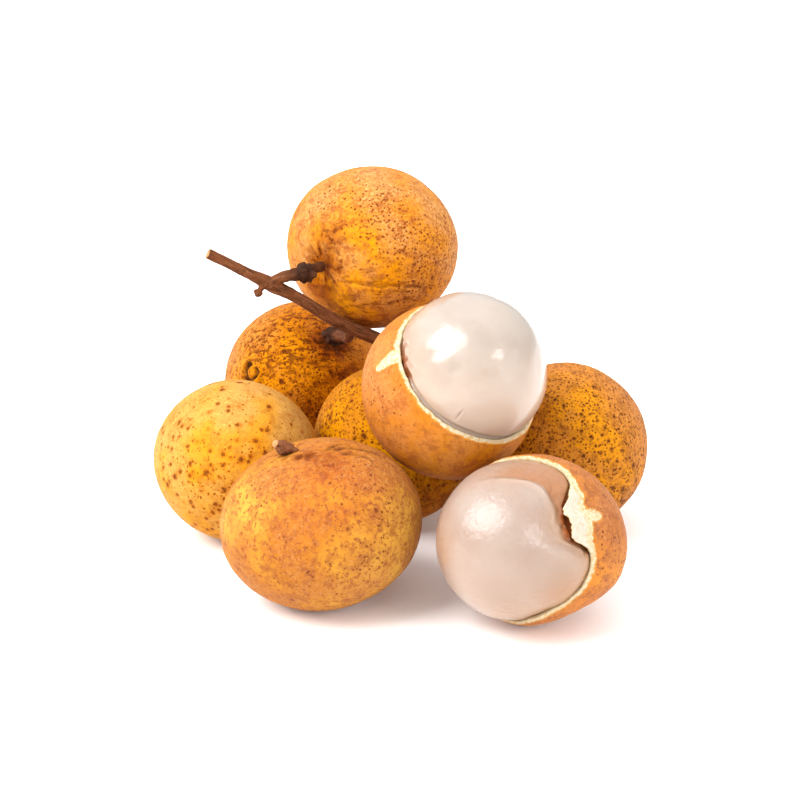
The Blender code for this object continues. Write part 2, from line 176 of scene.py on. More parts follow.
def node(tree, kind, inputs, out=0, **settings):
    """Adds one shader node with its settings, and its inputs from values or other outputs; gives its output."""
    made = tree.nodes.new(kind)
    for name, value in settings.items():
        setattr(made, name, value)
    for socket, value in inputs.items():
        if isinstance(value, bpy.types.NodeSocket):
            tree.links.new(value, made.inputs[socket])
        else:
            made.inputs[socket].default_value = value
    return made.outputs[out] if made.outputs else None


def blend_in(tree, share, under, over, how="MIX"):
    """One colour laid over another by a share."""
    return node(tree, "ShaderNodeMix", {0: share, 6: under, 7: over}, 2, data_type="RGBA", blend_type=how)


def times(tree, first, second):
    return node(tree, "ShaderNodeMath", {0: first, 1: second}, operation="MULTIPLY")


def ramp(tree, value, start, end, low=0.0, high=1.0):
    """A value's smooth rise from low at start to high at end."""
    sockets = {0: value, 1: start, 2: end, 3: low, 4: high}
    return node(tree, "ShaderNodeMapRange", sockets, interpolation_type="SMOOTHSTEP")


def mark(tree, name):
    """A mark that the mesh carries at each of its points."""
    return node(tree, "ShaderNodeAttribute", {}, 2, attribute_name=name)


PLAIN_LOOK = dict(grains=0.55, flecks=0.55, bloom="#C08A52", run=(0.28, 1.0, 1.0), dash=0.80, spot_size=1.0)


def rind_skin(tree, look):
    """The colour and the fine relief of dry longan rind: a golden ground that weathers to tan, partly painted sheen
    on its rims, pinkish-brown mottling of 2 mm, grain of half a millimetre, corky pores from 0.3 to 0.9 mm,
    stains at the stalk, painted shade where the twig and other fruits shade the rind, and crease lines darkened
    as painted shade."""
    look = dict(PLAIN_LOOK, halo=look["mottle"], streak=look["freckle"]) | look
    place = node(tree, "ShaderNodeTexCoord", {}, 3)
    place = node(tree, "ShaderNodeVectorMath", {0: place, 1: (look["seed"] * MM, 0.0, 0.0)}, operation="ADD")
    wide = node(tree, "ShaderNodeTexNoise", {"Vector": place, "Scale": 1 / (7 * MM), "Detail": 3.0})
    cloud = node(tree, "ShaderNodeTexNoise",
                 {"Vector": place, "Scale": 1 / (2.1 * MM), "Detail": 6.0, "Roughness": 0.68, "Distortion": 0.3})
    grain = node(tree, "ShaderNodeTexNoise",
                 {"Vector": place, "Scale": 1 / (0.70 * MM), "Detail": 4.0, "Roughness": 0.7, "Distortion": 0.4})
    fleck = node(tree, "ShaderNodeTexNoise",
                 {"Vector": place, "Scale": 1 / (0.42 * MM), "Detail": 3.0, "Roughness": 0.7, "Distortion": 0.8})
    # A grown fruit's skin is never in one tone: the sunny side goes yellow, the rubbed side goes tan. The tan
    # is partly that weathered tone and partly painted sheen on the rims and tops of the fruits.
    drift = ramp(tree, wide, 0.35, 0.65, -0.30, 0.30)
    yellow = node(tree, "ShaderNodeMath", {0: mark(tree, "yellow"), 1: drift}, operation="ADD", use_clamp=True)
    tan = node(tree, "ShaderNodeMath", {0: mark(tree, "tan"), 1: drift}, operation="SUBTRACT", use_clamp=True)
    colour = blend_in(tree, yellow, linear(look["ground"]), linear(look["yellow"]))
    colour = blend_in(tree, tan, colour, linear(look["tan"]))
    colour = blend_in(tree, times(tree, mark(tree, "red"), ramp(tree, cloud, 0.35, 0.65, 0.35, 1.0)),
                      colour, linear("#A04A1A"))
    mottled = ramp(tree, cloud, 0.47, 0.64, 0.0, look["mottling"])
    colour = blend_in(tree, mottled, colour, linear(look["mottle"]))
    # The corky outer layer flakes off in grains, so fine dark and pale flecks lie side by side.
    colour = blend_in(tree, ramp(tree, grain, 0.50, 0.66, 0.0, look["grains"]), colour, linear(look["mottle"]))
    # The pale flecks gather where the tan lies, so they share its painted sheen on the rims.
    pale = node(tree, "ShaderNodeMath", {0: ramp(tree, fleck, 0.50, 0.34), 1: ramp(tree, tan, 0.0, 0.8, 0.10, 1.0)},
                operation="MULTIPLY")
    colour = blend_in(tree, times(tree, pale, look["flecks"]), colour, linear(look["bloom"]))
    # Streaks are short dashes that follow the fruit round, drawn out four times along their run.
    drawn_out = node(tree, "ShaderNodeVectorMath", {0: place, 1: look["run"]}, operation="MULTIPLY")
    dash = node(tree, "ShaderNodeTexNoise",
                {"Vector": drawn_out, "Scale": 1 / (look["dash"] * MM), "Detail": 3.0, "Roughness": 0.5, "Distortion": 0.35})
    dash = times(tree, ramp(tree, dash, 0.525, 0.585), mark(tree, "streaks"))
    colour = blend_in(tree, times(tree, dash, 0.90), colour, linear(look["streak"]))
    # Pores: each cell of the pattern holds one, and its own random number decides whether it has opened.
    relief = node(tree, "ShaderNodeMath", {0: grain, 1: times(tree, fleck, 0.5)}, operation="ADD")
    for size, name, core, halo, strength in (
        (0.55, "dots", 0.20, 0.34, 0.70),
        (0.68, "dots", 0.19, 0.32, 0.75),
        (0.85, "dots", 0.17, 0.30, 0.80),
        (1.35, "spots", 0.16, 0.38, 0.80),
        (2.10, "spots", 0.14, 0.32, 0.85),
    ):
        size = size * look["spot_size"] if name == "spots" else size
        cells = {"Vector": place, "Scale": 1 / (size * MM), "Randomness": 1.0}
        far = node(tree, "ShaderNodeTexVoronoi", cells, 0)
        lot = node(tree, "ShaderNodeTexVoronoi", cells, 1)
        far = node(tree, "ShaderNodeMath", {0: far, 1: ramp(tree, grain, 0.3, 0.7, -0.09, 0.09)}, operation="ADD")
        opened = node(tree, "ShaderNodeSeparateColor", {0: lot}, 0)
        opened = node(tree, "ShaderNodeMath", {0: mark(tree, name), 1: opened}, operation="SUBTRACT")
        opened = ramp(tree, opened, -0.04, 0.08)
        ring = times(tree, ramp(tree, far, halo + 0.08, core, 0.0, 0.55), opened)
        heart = times(tree, ramp(tree, far, core + 0.10, core - 0.04, 0.0, strength), opened)
        colour = blend_in(tree, ring, colour, linear(look["halo"]))
        colour = blend_in(tree, heart, colour, linear(look["freckle"]))
        relief = node(tree, "ShaderNodeMath", {0: relief, 1: times(tree, heart, 0.6)}, operation="SUBTRACT")
    # The stain mark is partly real staining round the stalk and partly painted shade: under the twig, on shaded bellies
    # and where fruits shade each other.
    stain_and_shade_share = times(tree, mark(tree, "stain_and_shade"), ramp(tree, cloud, 0.30, 0.62, 0.65, 1.0))
    colour = blend_in(tree, ramp(tree, stain_and_shade_share, 0.0, 0.70), colour, linear("#BA945E"), "MULTIPLY")
    colour = blend_in(tree, ramp(tree, stain_and_shade_share, 0.50, 1.05, 0.0, 0.95), colour, linear("#391604"))
    # Crease lines are darkened as painted shade; the scar's dark edge and heart share this mark.
    colour = blend_in(tree, mark(tree, "crease"), colour, linear("#3A1C0C"))
    return colour, relief


def longan_rind(name, look):
    """Dry longan rind, as grown: dull and leathery, so that only a broad soft sheen shows, with a faint
    powdery bloom that pales it where it turns away from the eye."""
    made = bpy.data.materials.new(name)
    made.use_nodes = True
    tree = made.node_tree
    tree.nodes.clear()
    colour, relief = rind_skin(tree, look)
    bumps = node(tree, "ShaderNodeBump", {"Strength": 0.5, "Distance": 0.14 * MM, "Height": relief})
    shader = node(tree, "ShaderNodeBsdfPrincipled", {
        "Base Color": colour, "Roughness": 0.62, "IOR": 1.45, "Specular IOR Level": 0.12, "Specular Tint": linear("#FFC88A"), "Normal": bumps,
        "Sheen Weight": 0.05, "Sheen Roughness": 0.45, "Sheen Tint": linear("#FFB060"),
    })
    node(tree, "ShaderNodeOutputMaterial", {0: shader})
    return made


def axes_along(direction, turn=0.0):
    """A rotation whose third axis follows direction and whose first one is level before the turn."""
    along = Vector(direction).normalized()
    across = Vector((0, 0, 1)).cross(along)
    if across.length < 0.3:
        across = Vector((0, 1, 0)).cross(along)
    across.normalize()
    return Matrix((across, along.cross(across), along)).transposed() @ Matrix.Rotation(turn, 3, "Z")


def noise_at(places, size, seed):
    """Smooth noise from -1 to 1 at each place, with features of that size."""
    shift = np.array((seed, 0.0, 0.0))
    return np.array([noise.noise(point) for point in places / size + shift])


def unit_ball(fineness):
    """The points and triangles of an evenly divided unit ball."""
    shape = bmesh.new()
    bmesh.ops.create_icosphere(shape, subdivisions=fineness, radius=1.0)
    points = np.array([corner.co for corner in shape.verts])
    faces = [[corner.index for corner in face.verts] for face in shape.faces]
    shape.free()
    return points / np.linalg.norm(points, axis=1)[:, None], faces


def new_piece(name, points, faces, material, marks, centre=(0, 0, 0)):
    """A smooth-shaded object with marks at its points, which are given from its centre."""
    mesh = bpy.data.meshes.new(name)
    mesh.from_pydata([tuple(point) for point in points], [], faces)
    for mark_name, values in marks.items():
        layer = mesh.attributes.new(mark_name, "FLOAT", "POINT")
        layer.data.foreach_set("value", np.asarray(values, np.float32))
    mesh.materials.append(material)
    mesh.shade_smooth()
    piece = bpy.data.objects.new(name, mesh)
    bpy.context.scene.collection.objects.link(piece)
    piece.location = centre
    return piece


def facing(right, up):
    """The direction on a fruit's front that lies those shares of its radius right and up of its middle."""
    towards = math.sqrt(max(0.0, 1 - right * right - up * up))
    return (TO_RIGHT * right + TO_TOP * up + TO_FRONT * towards).normalized()


def patch_marks(look, directions):
    """How strong each mark of the rind is, from its share everywhere and its patches."""
    marks = {}
    everywhere = dict(dots=look["dots"], spots=look["spots"], streaks=look["streaks"],
                      tan=look["tans"], yellow=look["yellows"], red=0.0, stain_and_shade=0.0)
    for name, share in everywhere.items():
        strength = np.full(len(directions), share)
        for right, up, spread, amount in look["patches"].get(name, []):
            off = np.degrees(np.arccos(np.clip(directions @ np.array(facing(right, up)), -1, 1)))
            strength = np.maximum(strength, share + (amount - share) * np.exp(-(off / spread) ** 2))
        marks[name] = strength
    return marks


def from_line(places, line):
    """How far each place is from a line through points, and the share of the line's length where that is."""
    near = np.full(len(places), 1e9)
    along = np.zeros(len(places))
    for index, (start, end) in enumerate(zip(line, line[1:])):
        run = end - start
        share = np.clip((places - start) @ run / (run @ run), 0, 1)
        off = np.linalg.norm(places - start - share[:, None] * run, axis=1)
        closer = off < near
        near[closer] = off[closer]
        along[closer] = (index + share[closer]) / (len(line) - 1)
    return near, along


BALL, BALL_FACES = unit_ball(7)


def whole_fruit(name, look):
    """An ellipsoid drawn in at its stalk, lumpy, finely grained and creased, and flat where it lies."""
    centre = Vector(look["centre"]) * MM
    turned = axes_along(look["axis"], math.radians(look["turn"]))
    to_world = np.array(turned)
    half = np.array(look["half"]) * MM
    places = BALL * half
    lumps = LUMP_HEIGHT * noise_at(places, LUMP_SIZE, look["seed"])
    places = places + BALL * lumps[:, None]
    stalk = np.array(turned.inverted() @ Vector(look["stalk"]).normalized())
    outward = places / np.linalg.norm(places, axis=1)[:, None]
    from_stalk = np.arccos(np.clip(outward @ stalk, -1, 1))
    spread = from_stalk / DIMPLE_WIDTH
    places = places - stalk * (look["dimple"] * MM * np.exp(-spread ** 2))[:, None]
    # The rind puckers into folds that run into the dimple.
    side = np.cross(stalk, (0.3, 0.5, 0.8))
    side /= np.linalg.norm(side)
    round_stalk = np.arctan2(outward @ np.cross(stalk, side), outward @ side)
    folds = np.sin(7 * round_stalk + 2 * noise_at(places, 6 * MM, look["seed"] + 3))
    folds = folds * np.exp(-((spread - 0.75) / 0.42) ** 2) * 0.09 * MM * look["dimple"]
    grain = GRAIN_HEIGHT * noise_at(places, GRAIN_SIZE, look["seed"] + 5)
    grain += 0.07 * MM * noise_at(places, 3.6 * MM, look["seed"] + 9)
    raised = folds + grain
    directions = outward @ to_world.T
    marks = patch_marks(look, directions)
    rough = noise_at(places, 1.3 * MM, look["seed"] + 13)
    marks["stain_and_shade"] = np.maximum(marks["stain_and_shade"], 0.75 * np.exp(-((spread / (0.34 + 0.08 * rough)) ** 2)))
    # Dark rays run out of the dimple over the rind.
    spokes = np.stack((np.cos(round_stalk), np.sin(round_stalk), 0.22 * spread), 1) * 5.5
    rays = np.clip(noise_at(spokes, 1.0, look["seed"] + 19) * 2.6 - 0.15, 0, 1) * np.exp(-((spread - 0.55) / 0.55) ** 2)
    marks["stain_and_shade"] = np.maximum(marks["stain_and_shade"], look.get("rays", 0.45) * rays)
    crease = np.zeros(len(places))
    radius = float(half.mean())
    for line in look["creases"]:
        track = np.array([turned.inverted() @ facing(*point) for point in line]) * radius
        off, along = from_line(outward * radius, track)
        off = off + 0.10 * MM * rough
        shallow = np.clip(np.minimum(along, 1 - along) * 6, 0, 1)
        deep = look.get("crease_depth", 0.26) * MM
        raised = raised - deep * shallow * np.exp(-(off / (0.30 * MM)) ** 2)
        raised = raised + 0.45 * deep * shallow * np.exp(-((off - 0.75 * MM) / (0.35 * MM)) ** 2)
        broken = np.clip(0.75 + 0.9 * noise_at(places, 1.9 * MM, look["seed"] + 17), 0, 1)
        # The ink along each crease is painted shade in the fold, darker the deeper the fold.
        line_ink = np.clip(deep / (0.26 * MM), 0, 1) * 0.9
        line_width = 0.12 * MM + 0.55 * deep
        crease = np.maximum(crease, line_ink * shallow * broken * np.exp(-(off / line_width) ** 2))
    if "scar" in look:
        # A small round scar with a torn, dark edge and a corky heart, where a smaller stalk broke away.
        heart = np.array(turned.inverted() @ facing(*look["scar"]))
        across = np.linalg.norm(outward - heart, axis=1) * radius
        edge = 1.45 * MM + 0.50 * MM * rough
        wall = np.exp(-((across - edge) / (0.34 * MM)) ** 2)
        broken = np.clip(0.75 + 1.5 * noise_at(places, 1.5 * MM, look["seed"] + 21), 0, 1)
        raised = raised + 0.34 * MM * np.exp(-((across - 2.05 * MM) / (0.40 * MM)) ** 2) - 0.65 * MM * wall * broken
        raised = raised + 0.30 * MM * np.exp(-(across / (0.6 * MM)) ** 2) * (1 + rough)
        crease = np.maximum(crease, np.clip(wall * broken * 1.8, 0, 1.0))
        crease = np.maximum(crease, 0.8 * np.exp(-(across / (0.18 * MM)) ** 2))
    marks["crease"] = crease
    places = places + outward * raised[:, None]
    in_world = places @ to_world.T + np.array(centre)
    in_world[:, 2] = np.maximum(in_world[:, 2], 0.0)
    piece = new_piece("longan_" + name, in_world - np.array(centre), BALL_FACES,
                      longan_rind(name + "_rind", look), marks, centre)
    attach(piece, "root")
    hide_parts(name)
    return piece


for fruit_name, fruit_look in FRUITS.items():
    whole_fruit(fruit_name, fruit_look)


# The twig. A thin woody stem of the cluster, snapped off at its upper end, with red-brown bark in fine
# lengthwise wrinkles. It forks to four stalks, and each ends in a ragged dry calyx over its fruit's dimple.
# A short spur with a round dry bud stands on its lower side. It all grew as one piece.
TWIG_STEP = 0.35 * MM
TWIG_SIDES = 20
TWIG_GRAIN = 0.13 * MM
CUT_RADIUS = 0.85
FORK_RADIUS = 1.15
STEM_RADIUS = 1.05
STALK_RADIUS = 0.92
FORK = (-19.8, 2.3, 41.8)
OVER_BACK_LEFT = (-8.2, 6.0, 33.7)
MEETING = (4.0, 9.2, 27.8)
FIT_GAP = 0.3 * MM


def smooth_route(route):
    """Points close together on a smooth curve through the route's points, with their radii, in metres."""
    route = [(Vector(place) * MM, radius * MM) for place, radius in route]
    ends = [route[0]] + route + [route[-1]]
    smooth = []
    for before, start, end, after in zip(ends, ends[1:], ends[2:], ends[3:]):
        steps = max(1, round((end[0] - start[0]).length / TWIG_STEP))
        for step in range(steps):
            t = step / steps
            weights = (
                -0.5 * t + t * t - 0.5 * t ** 3,
                1 - 2.5 * t * t + 1.5 * t ** 3,
                0.5 * t + 2 * t * t - 1.5 * t ** 3,
                -0.5 * t * t + 0.5 * t ** 3,
            )
            point = Vector()
            for weight, neighbour in zip(weights, (before, start, end, after)):
                point += weight * neighbour[0]
            smooth.append((point, start[1] + (end[1] - start[1]) * t))
    smooth.append(route[-1])
    return smooth


def stalk_tube(shape, route, lines):
    """Adds a closed tube along a route to the shape, and its middle line to the lines."""
    stations = smooth_route(route)
    side = Vector((0.1, 0.2, 1.0))
    previous = None
    run = 0.0
    for index, (point, radius) in enumerate(stations):
        ahead = stations[min(index + 1, len(stations) - 1)][0] - stations[max(index - 1, 0)][0]
        side = (side - side.project(ahead)).normalized()
        other = ahead.normalized().cross(side)
        ring = []
        for number in range(TWIG_SIDES):
            angle = 2 * math.pi * number / TWIG_SIDES
            ring.append(shape.verts.new(point + radius * (math.cos(angle) * side + math.sin(angle) * other)))
        if previous is None:
            shape.faces.new(list(reversed(ring)))
        else:
            run += (point - stations[index - 1][0]).length
            for number in range(TWIG_SIDES):
                after = (number + 1) % TWIG_SIDES
                shape.faces.new((previous[number], previous[after], ring[after], ring[number]))
        lines.append((point, ahead.normalized(), side.copy(), other, run))
        previous = ring
    shape.faces.new(previous)


def calyx(shape, middle, out, size, seed):
    """Adds the dry calyx: a ragged ring of small curled flaps round the stalk, and the knuckle behind it."""
    turned = axes_along(out)
    for number in range(7):
        angle = 2 * math.pi * (number + 0.35 * noise.noise(Vector((seed, number, 0.5)))) / 7
        reach = size * (1.0 + 0.35 * noise.noise(Vector((number * 1.7, seed, 0.2))))
        lean = 0.35 * noise.noise(Vector((seed, 0.3, number * 2.3)))
        flap = Matrix.LocRotScale(None, Matrix.Rotation(angle, 3, "Z"), None)
        flap = flap @ Matrix.Translation((0.54 * reach, 0, lean * size))
        flap = flap @ Matrix.Rotation(0.5 + lean, 4, "Y") @ Matrix.Diagonal((0.46 * reach, 0.40 * size, 0.28 * size, 1))
        bmesh.ops.create_icosphere(
            shape, subdivisions=3, radius=1.0, matrix=Matrix.Translation(middle) @ turned.to_4x4() @ flap)
    knuckle = Matrix.Translation(middle + out * 0.25 * size) @ turned.to_4x4()
    bmesh.ops.create_icosphere(
        shape, subdivisions=3, radius=1.0, matrix=knuckle @ Matrix.Diagonal((0.72 * size, 0.72 * size, 0.6 * size, 1)))


def dimple_floor(look):
    """The bottom of a fruit's dimple and the way out from there."""
    turned = axes_along(look["axis"], math.radians(look["turn"]))
    out = Vector(look["stalk"]).normalized()
    local = turned.inverted() @ out
    unit = Vector(part / size for part, size in zip(local, look["half"])).normalized()
    place = Vector(part * size for part, size in zip(unit, look["half"])) * MM
    place += unit * LUMP_HEIGHT * noise.noise(place / LUMP_SIZE + Vector((look["seed"], 0, 0)))
    return Vector(look["centre"]) * MM + turned @ (place - local * look["dimple"] * MM), out


def red_brown_bark():
    """Dry bark of a fruiting twig: matt, in fine lengthwise wrinkles 0.3 mm apart, red-brown with greyer
    ridges and small pale pores, near black on the calyx knobs, darkened as painted shade on each stalk's neck
    in the dimple, and pale wood where it was snapped."""
    made = bpy.data.materials.new("longan_bark")
    made.use_nodes = True
    tree = made.node_tree
    tree.nodes.clear()
    along = node(tree, "ShaderNodeAttribute", {}, 1, attribute_name="grain")
    place = node(tree, "ShaderNodeTexCoord", {}, 3)
    fibre = node(tree, "ShaderNodeTexNoise",
                 {"Vector": along, "Scale": 1 / (0.42 * MM), "Detail": 4.0, "Roughness": 0.6, "Distortion": 0.4})
    patch = node(tree, "ShaderNodeTexNoise", {"Vector": place, "Scale": 1 / (1.8 * MM), "Detail": 3.0})
    speck = node(tree, "ShaderNodeTexNoise", {"Vector": place, "Scale": 1 / (0.35 * MM), "Detail": 2.0})
    colour = blend_in(tree, ramp(tree, fibre, 0.32, 0.66), linear("#42230F"), linear("#7A4A2E"))
    colour = blend_in(tree, ramp(tree, patch, 0.38, 0.68, 0.0, 0.75), colour, linear("#64371C"))
    colour = blend_in(tree, ramp(tree, speck, 0.64, 0.72, 0.0, 0.55), colour, linear("#8E6044"))
    colour = blend_in(tree, ramp(tree, speck, 0.36, 0.28, 0.0, 0.7), colour, linear("#341809"))
    # The knob mark darkens the calyx knobs and the bud, and paints shade on the stalks' necks in the dimples.
    knob_and_neck_shade = times(tree, mark(tree, "knob_and_neck_shade"), ramp(tree, patch, 0.25, 0.70, 1.0, 0.72))
    colour = blend_in(tree, knob_and_neck_shade, colour, linear("#221008"))
    colour = blend_in(tree, mark(tree, "snapped"), colour, linear("#B38357"))
    relief = node(tree, "ShaderNodeMath", {0: fibre, 1: speck}, operation="ADD")
    bumps = node(tree, "ShaderNodeBump", {"Strength": 0.6, "Distance": 0.10 * MM, "Height": relief})
    shader = node(tree, "ShaderNodeBsdfPrincipled", {
        "Base Color": colour, "Roughness": 0.74, "IOR": 1.45, "Specular IOR Level": 0.12, "Normal": bumps})
    node(tree, "ShaderNodeOutputMaterial", {0: shader})
    return made


BARK = red_brown_bark()


def woody_piece(name, shape, lines, knobs, snapped, seed, ragged=0.05):
    """Fuses the tubes and flaps into one skin, wrinkles it along its run, and marks knobs and broken ends."""
    mesh = bpy.data.meshes.new(name + "_rough")
    shape.to_mesh(mesh)
    shape.free()
    rough = bpy.data.objects.new(name + "_rough", mesh)
    bpy.context.scene.collection.objects.link(rough)
    fused = rough.modifiers.new("fused", "REMESH")
    fused.mode = "VOXEL"
    fused.voxel_size = TWIG_GRAIN
    softened = rough.modifiers.new("softened", "SMOOTH")
    softened.iterations = 2
    softened.factor = 0.5
    depsgraph = bpy.context.evaluated_depsgraph_get()
    skin = bpy.data.meshes.new_from_object(rough.evaluated_get(depsgraph))
    bpy.data.objects.remove(rough)
    count = len(skin.vertices)
    points = np.zeros(count * 3)
    normals = np.zeros(count * 3)
    skin.vertices.foreach_get("co", points)
    skin.vertex_normals.foreach_get("vector", normals)
    points = points.reshape(-1, 3)
    normals = normals.reshape(-1, 3)
    faces = [tuple(face.vertices) for face in skin.polygons]
    bpy.data.meshes.remove(skin)
    tree = kdtree.KDTree(len(lines))
    for index, station in enumerate(lines):
        tree.insert(station[0], index)
    tree.balance()
    grain = np.zeros((count, 3))
    for index, point in enumerate(points):
        middle, ahead, side, other, run = lines[tree.find(point)[1]]
        off = Vector(point) - middle
        grain[index] = (off.dot(side), off.dot(other), (run + off.dot(ahead)) * 0.16)
    dark = np.zeros(count)
    for middle, reach in knobs:
        off = np.linalg.norm(points - np.array(middle), axis=1)
        dark = np.maximum(dark, np.clip(1.65 - off / reach, 0, 1))
    broken = np.zeros(count)
    for end, away in snapped:
        beyond = (points - np.array(end)) @ np.array(away)
        near = np.linalg.norm(points - np.array(end), axis=1) < 2.2 * MM
        fray = 0.22 * MM * noise_at(points, 0.7 * MM, seed + 2)
        broken = np.maximum(broken, near * np.clip((beyond + 0.16 * MM + fray) / (0.12 * MM), 0, 1))
    wrinkles = noise_at(grain, 0.42 * MM, seed) * 0.055 * MM
    lumps = noise_at(points, 0.8 * MM, seed + 4) * (ragged + 0.13 * dark) * MM
    points = points + normals * (wrinkles + lumps)[:, None]
    piece = new_piece(name, points, faces, BARK, dict(knob_and_neck_shade=dark, snapped=broken))
    layer = piece.data.attributes.new("grain", "FLOAT_VECTOR", "POINT")
    layer.data.foreach_set("vector", grain.astype(np.float32).ravel())
    return piece


twig_shape = bmesh.new()
twig_lines = []
twig_knobs = []
stalk_tube(twig_shape, [
    ((-30.4, 0.6, 48.0), CUT_RADIUS * 1.02),
    ((-27.5, 0.9, 46.4), CUT_RADIUS * 0.98),
    ((-24.0, 1.3, 44.4), CUT_RADIUS),
    ((-21.5, 1.9, 42.9), FORK_RADIUS),
    (FORK, FORK_RADIUS),
    ((-16.5, 3.3, 39.7), STEM_RADIUS * 0.9),
    ((-11.1, 5.0, 35.6), STEM_RADIUS),
    (OVER_BACK_LEFT, STEM_RADIUS),
    ((-2.9, 7.5, 30.9), STEM_RADIUS * 1.08),
    (MEETING, STEM_RADIUS),
], twig_lines)
STALKS = {
    "fruit_top": ([(-20.9, 2.0, 42.4), (-18.9, 2.4, 43.4)], 4.5, 1.75),
    "fruit_back_left": ([OVER_BACK_LEFT, (-8.6, 10.6, 30.4), (-9.7, 19.0, 27.6)], 1.6, 2.10),
    "fruit_centre": ([MEETING], 1.7, 1.5),
    "fruit_right": ([(2.4, 8.8, 28.5), (10.0, 7.0, 27.2)], 1.7, 1.5),
}
for fruit_name, (stalk_places, rise, calyx_size) in STALKS.items():
    floor_of_dimple, way_out = dimple_floor(FRUITS[fruit_name])
    foot = (floor_of_dimple + way_out * FIT_GAP) / MM
    seat = foot + way_out * rise
    route = [(place, STALK_RADIUS) for place in stalk_places]
    before_seat = Vector(stalk_places[-1])
    onward = (seat - before_seat).normalized()
    route.append((seat - onward * min(1.4, 0.5 * (seat - before_seat).length), STALK_RADIUS * 1.18))
    route.append((seat, STALK_RADIUS * 1.25))
    route.append((seat - way_out * 0.9, STALK_RADIUS * 0.95))
    route.append((foot + way_out * 0.25, STALK_RADIUS * 0.92))
    stalk_tube(twig_shape, route, twig_lines)
    calyx(twig_shape, seat * MM, way_out, calyx_size * MM, FRUITS[fruit_name]["seed"])
    twig_knobs.append((seat * MM, calyx_size * 1.25 * MM))
    # Painted shade on the neck of the stalk, where it runs into the dimple.
    twig_knobs.append(((foot + way_out * 0.7) * MM, 1.0 * MM))
stalk_tube(twig_shape, [
    ((-21.5, 1.9, 42.8), 0.75), ((-22.1, 1.5, 41.9), 0.48), ((-22.5, 1.25, 41.4), 0.45),
], twig_lines)
for bud_place, bud_size in (((-22.6, 1.2, 41.15), 0.66), ((-22.95, 1.2, 41.45), 0.4), ((-22.2, 1.0, 41.2), 0.38)):
    bmesh.ops.create_icosphere(
        twig_shape, subdivisions=3, radius=bud_size * MM, matrix=Matrix.Translation(Vector(bud_place) * MM))
twig_knobs.append((Vector((-22.7, 1.2, 41.1)) * MM, 0.45 * MM))
cut_end = Vector((-30.4, 0.6, 48.0)) * MM
cut_way = Vector((-2.9, -0.3, 1.6)).normalized()
twig_piece = woody_piece("longan_twig", twig_shape, twig_lines, twig_knobs, [(cut_end, cut_way)], 4.0)
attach(twig_piece, "root")
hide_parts("twig")


# The stumps of the two stalks that tore off with the front and left fruits. Each is a knuckle of dry bark in
# the dimple with a frayed end of pale wood, and it grew from the fruit.
for fruit_name, node_name in (("fruit_front", "stalk_front"), ("fruit_left", "stalk_left")):
    floor_of_dimple, way_out = dimple_floor(FRUITS[fruit_name])
    foot = (floor_of_dimple + way_out * FIT_GAP) / MM
    stump_shape = bmesh.new()
    stump_lines = []
    lean = Vector((-1.25, -0.15, 0.0))
    stalk_tube(stump_shape, [
        (foot + way_out * 0.1, 1.25), (foot + way_out * 0.6, 1.45), (foot + way_out * 1.0, 1.0),
        (foot + way_out * 1.25 + lean * 0.5, 0.82), (foot + way_out * 1.55 + lean, 0.58),
    ], stump_lines)
    calyx(stump_shape, (foot + way_out * 0.55) * MM, way_out, 1.5 * MM, 3.3)
    calyx(stump_shape, (foot + way_out * 1.05 + lean * 0.35) * MM, (way_out + lean * 0.5).normalized(), 0.95 * MM, 6.1)
    for place, size in (((1.35, -0.2, 0.25), 0.62), ((0.75, -0.5, 0.75), 0.50), ((-0.1, -0.9, 0.9), 0.42)):
        scale_shape = Matrix.Diagonal((1.25 * size, 0.8 * size, 0.7 * size, 1))
        scale_place = Matrix.Translation((foot + way_out * place[2] + Vector((place[0], place[1], 0))) * MM)
        bmesh.ops.create_icosphere(stump_shape, subdivisions=3, radius=MM, matrix=scale_place @ scale_shape)
    tip = (foot + way_out * 1.55 + lean) * MM
    snap_way = (way_out * 0.5 + lean).normalized()
    stump = woody_piece(node_name.replace("stalk", "longan_stump"), stump_shape, stump_lines,
                        [((foot + way_out * 0.2) * MM, 0.45 * MM)], [(tip - snap_way * 0.3 * MM, snap_way)], 8.0, 0.28)
    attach(stump, "root")
    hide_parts(node_name)


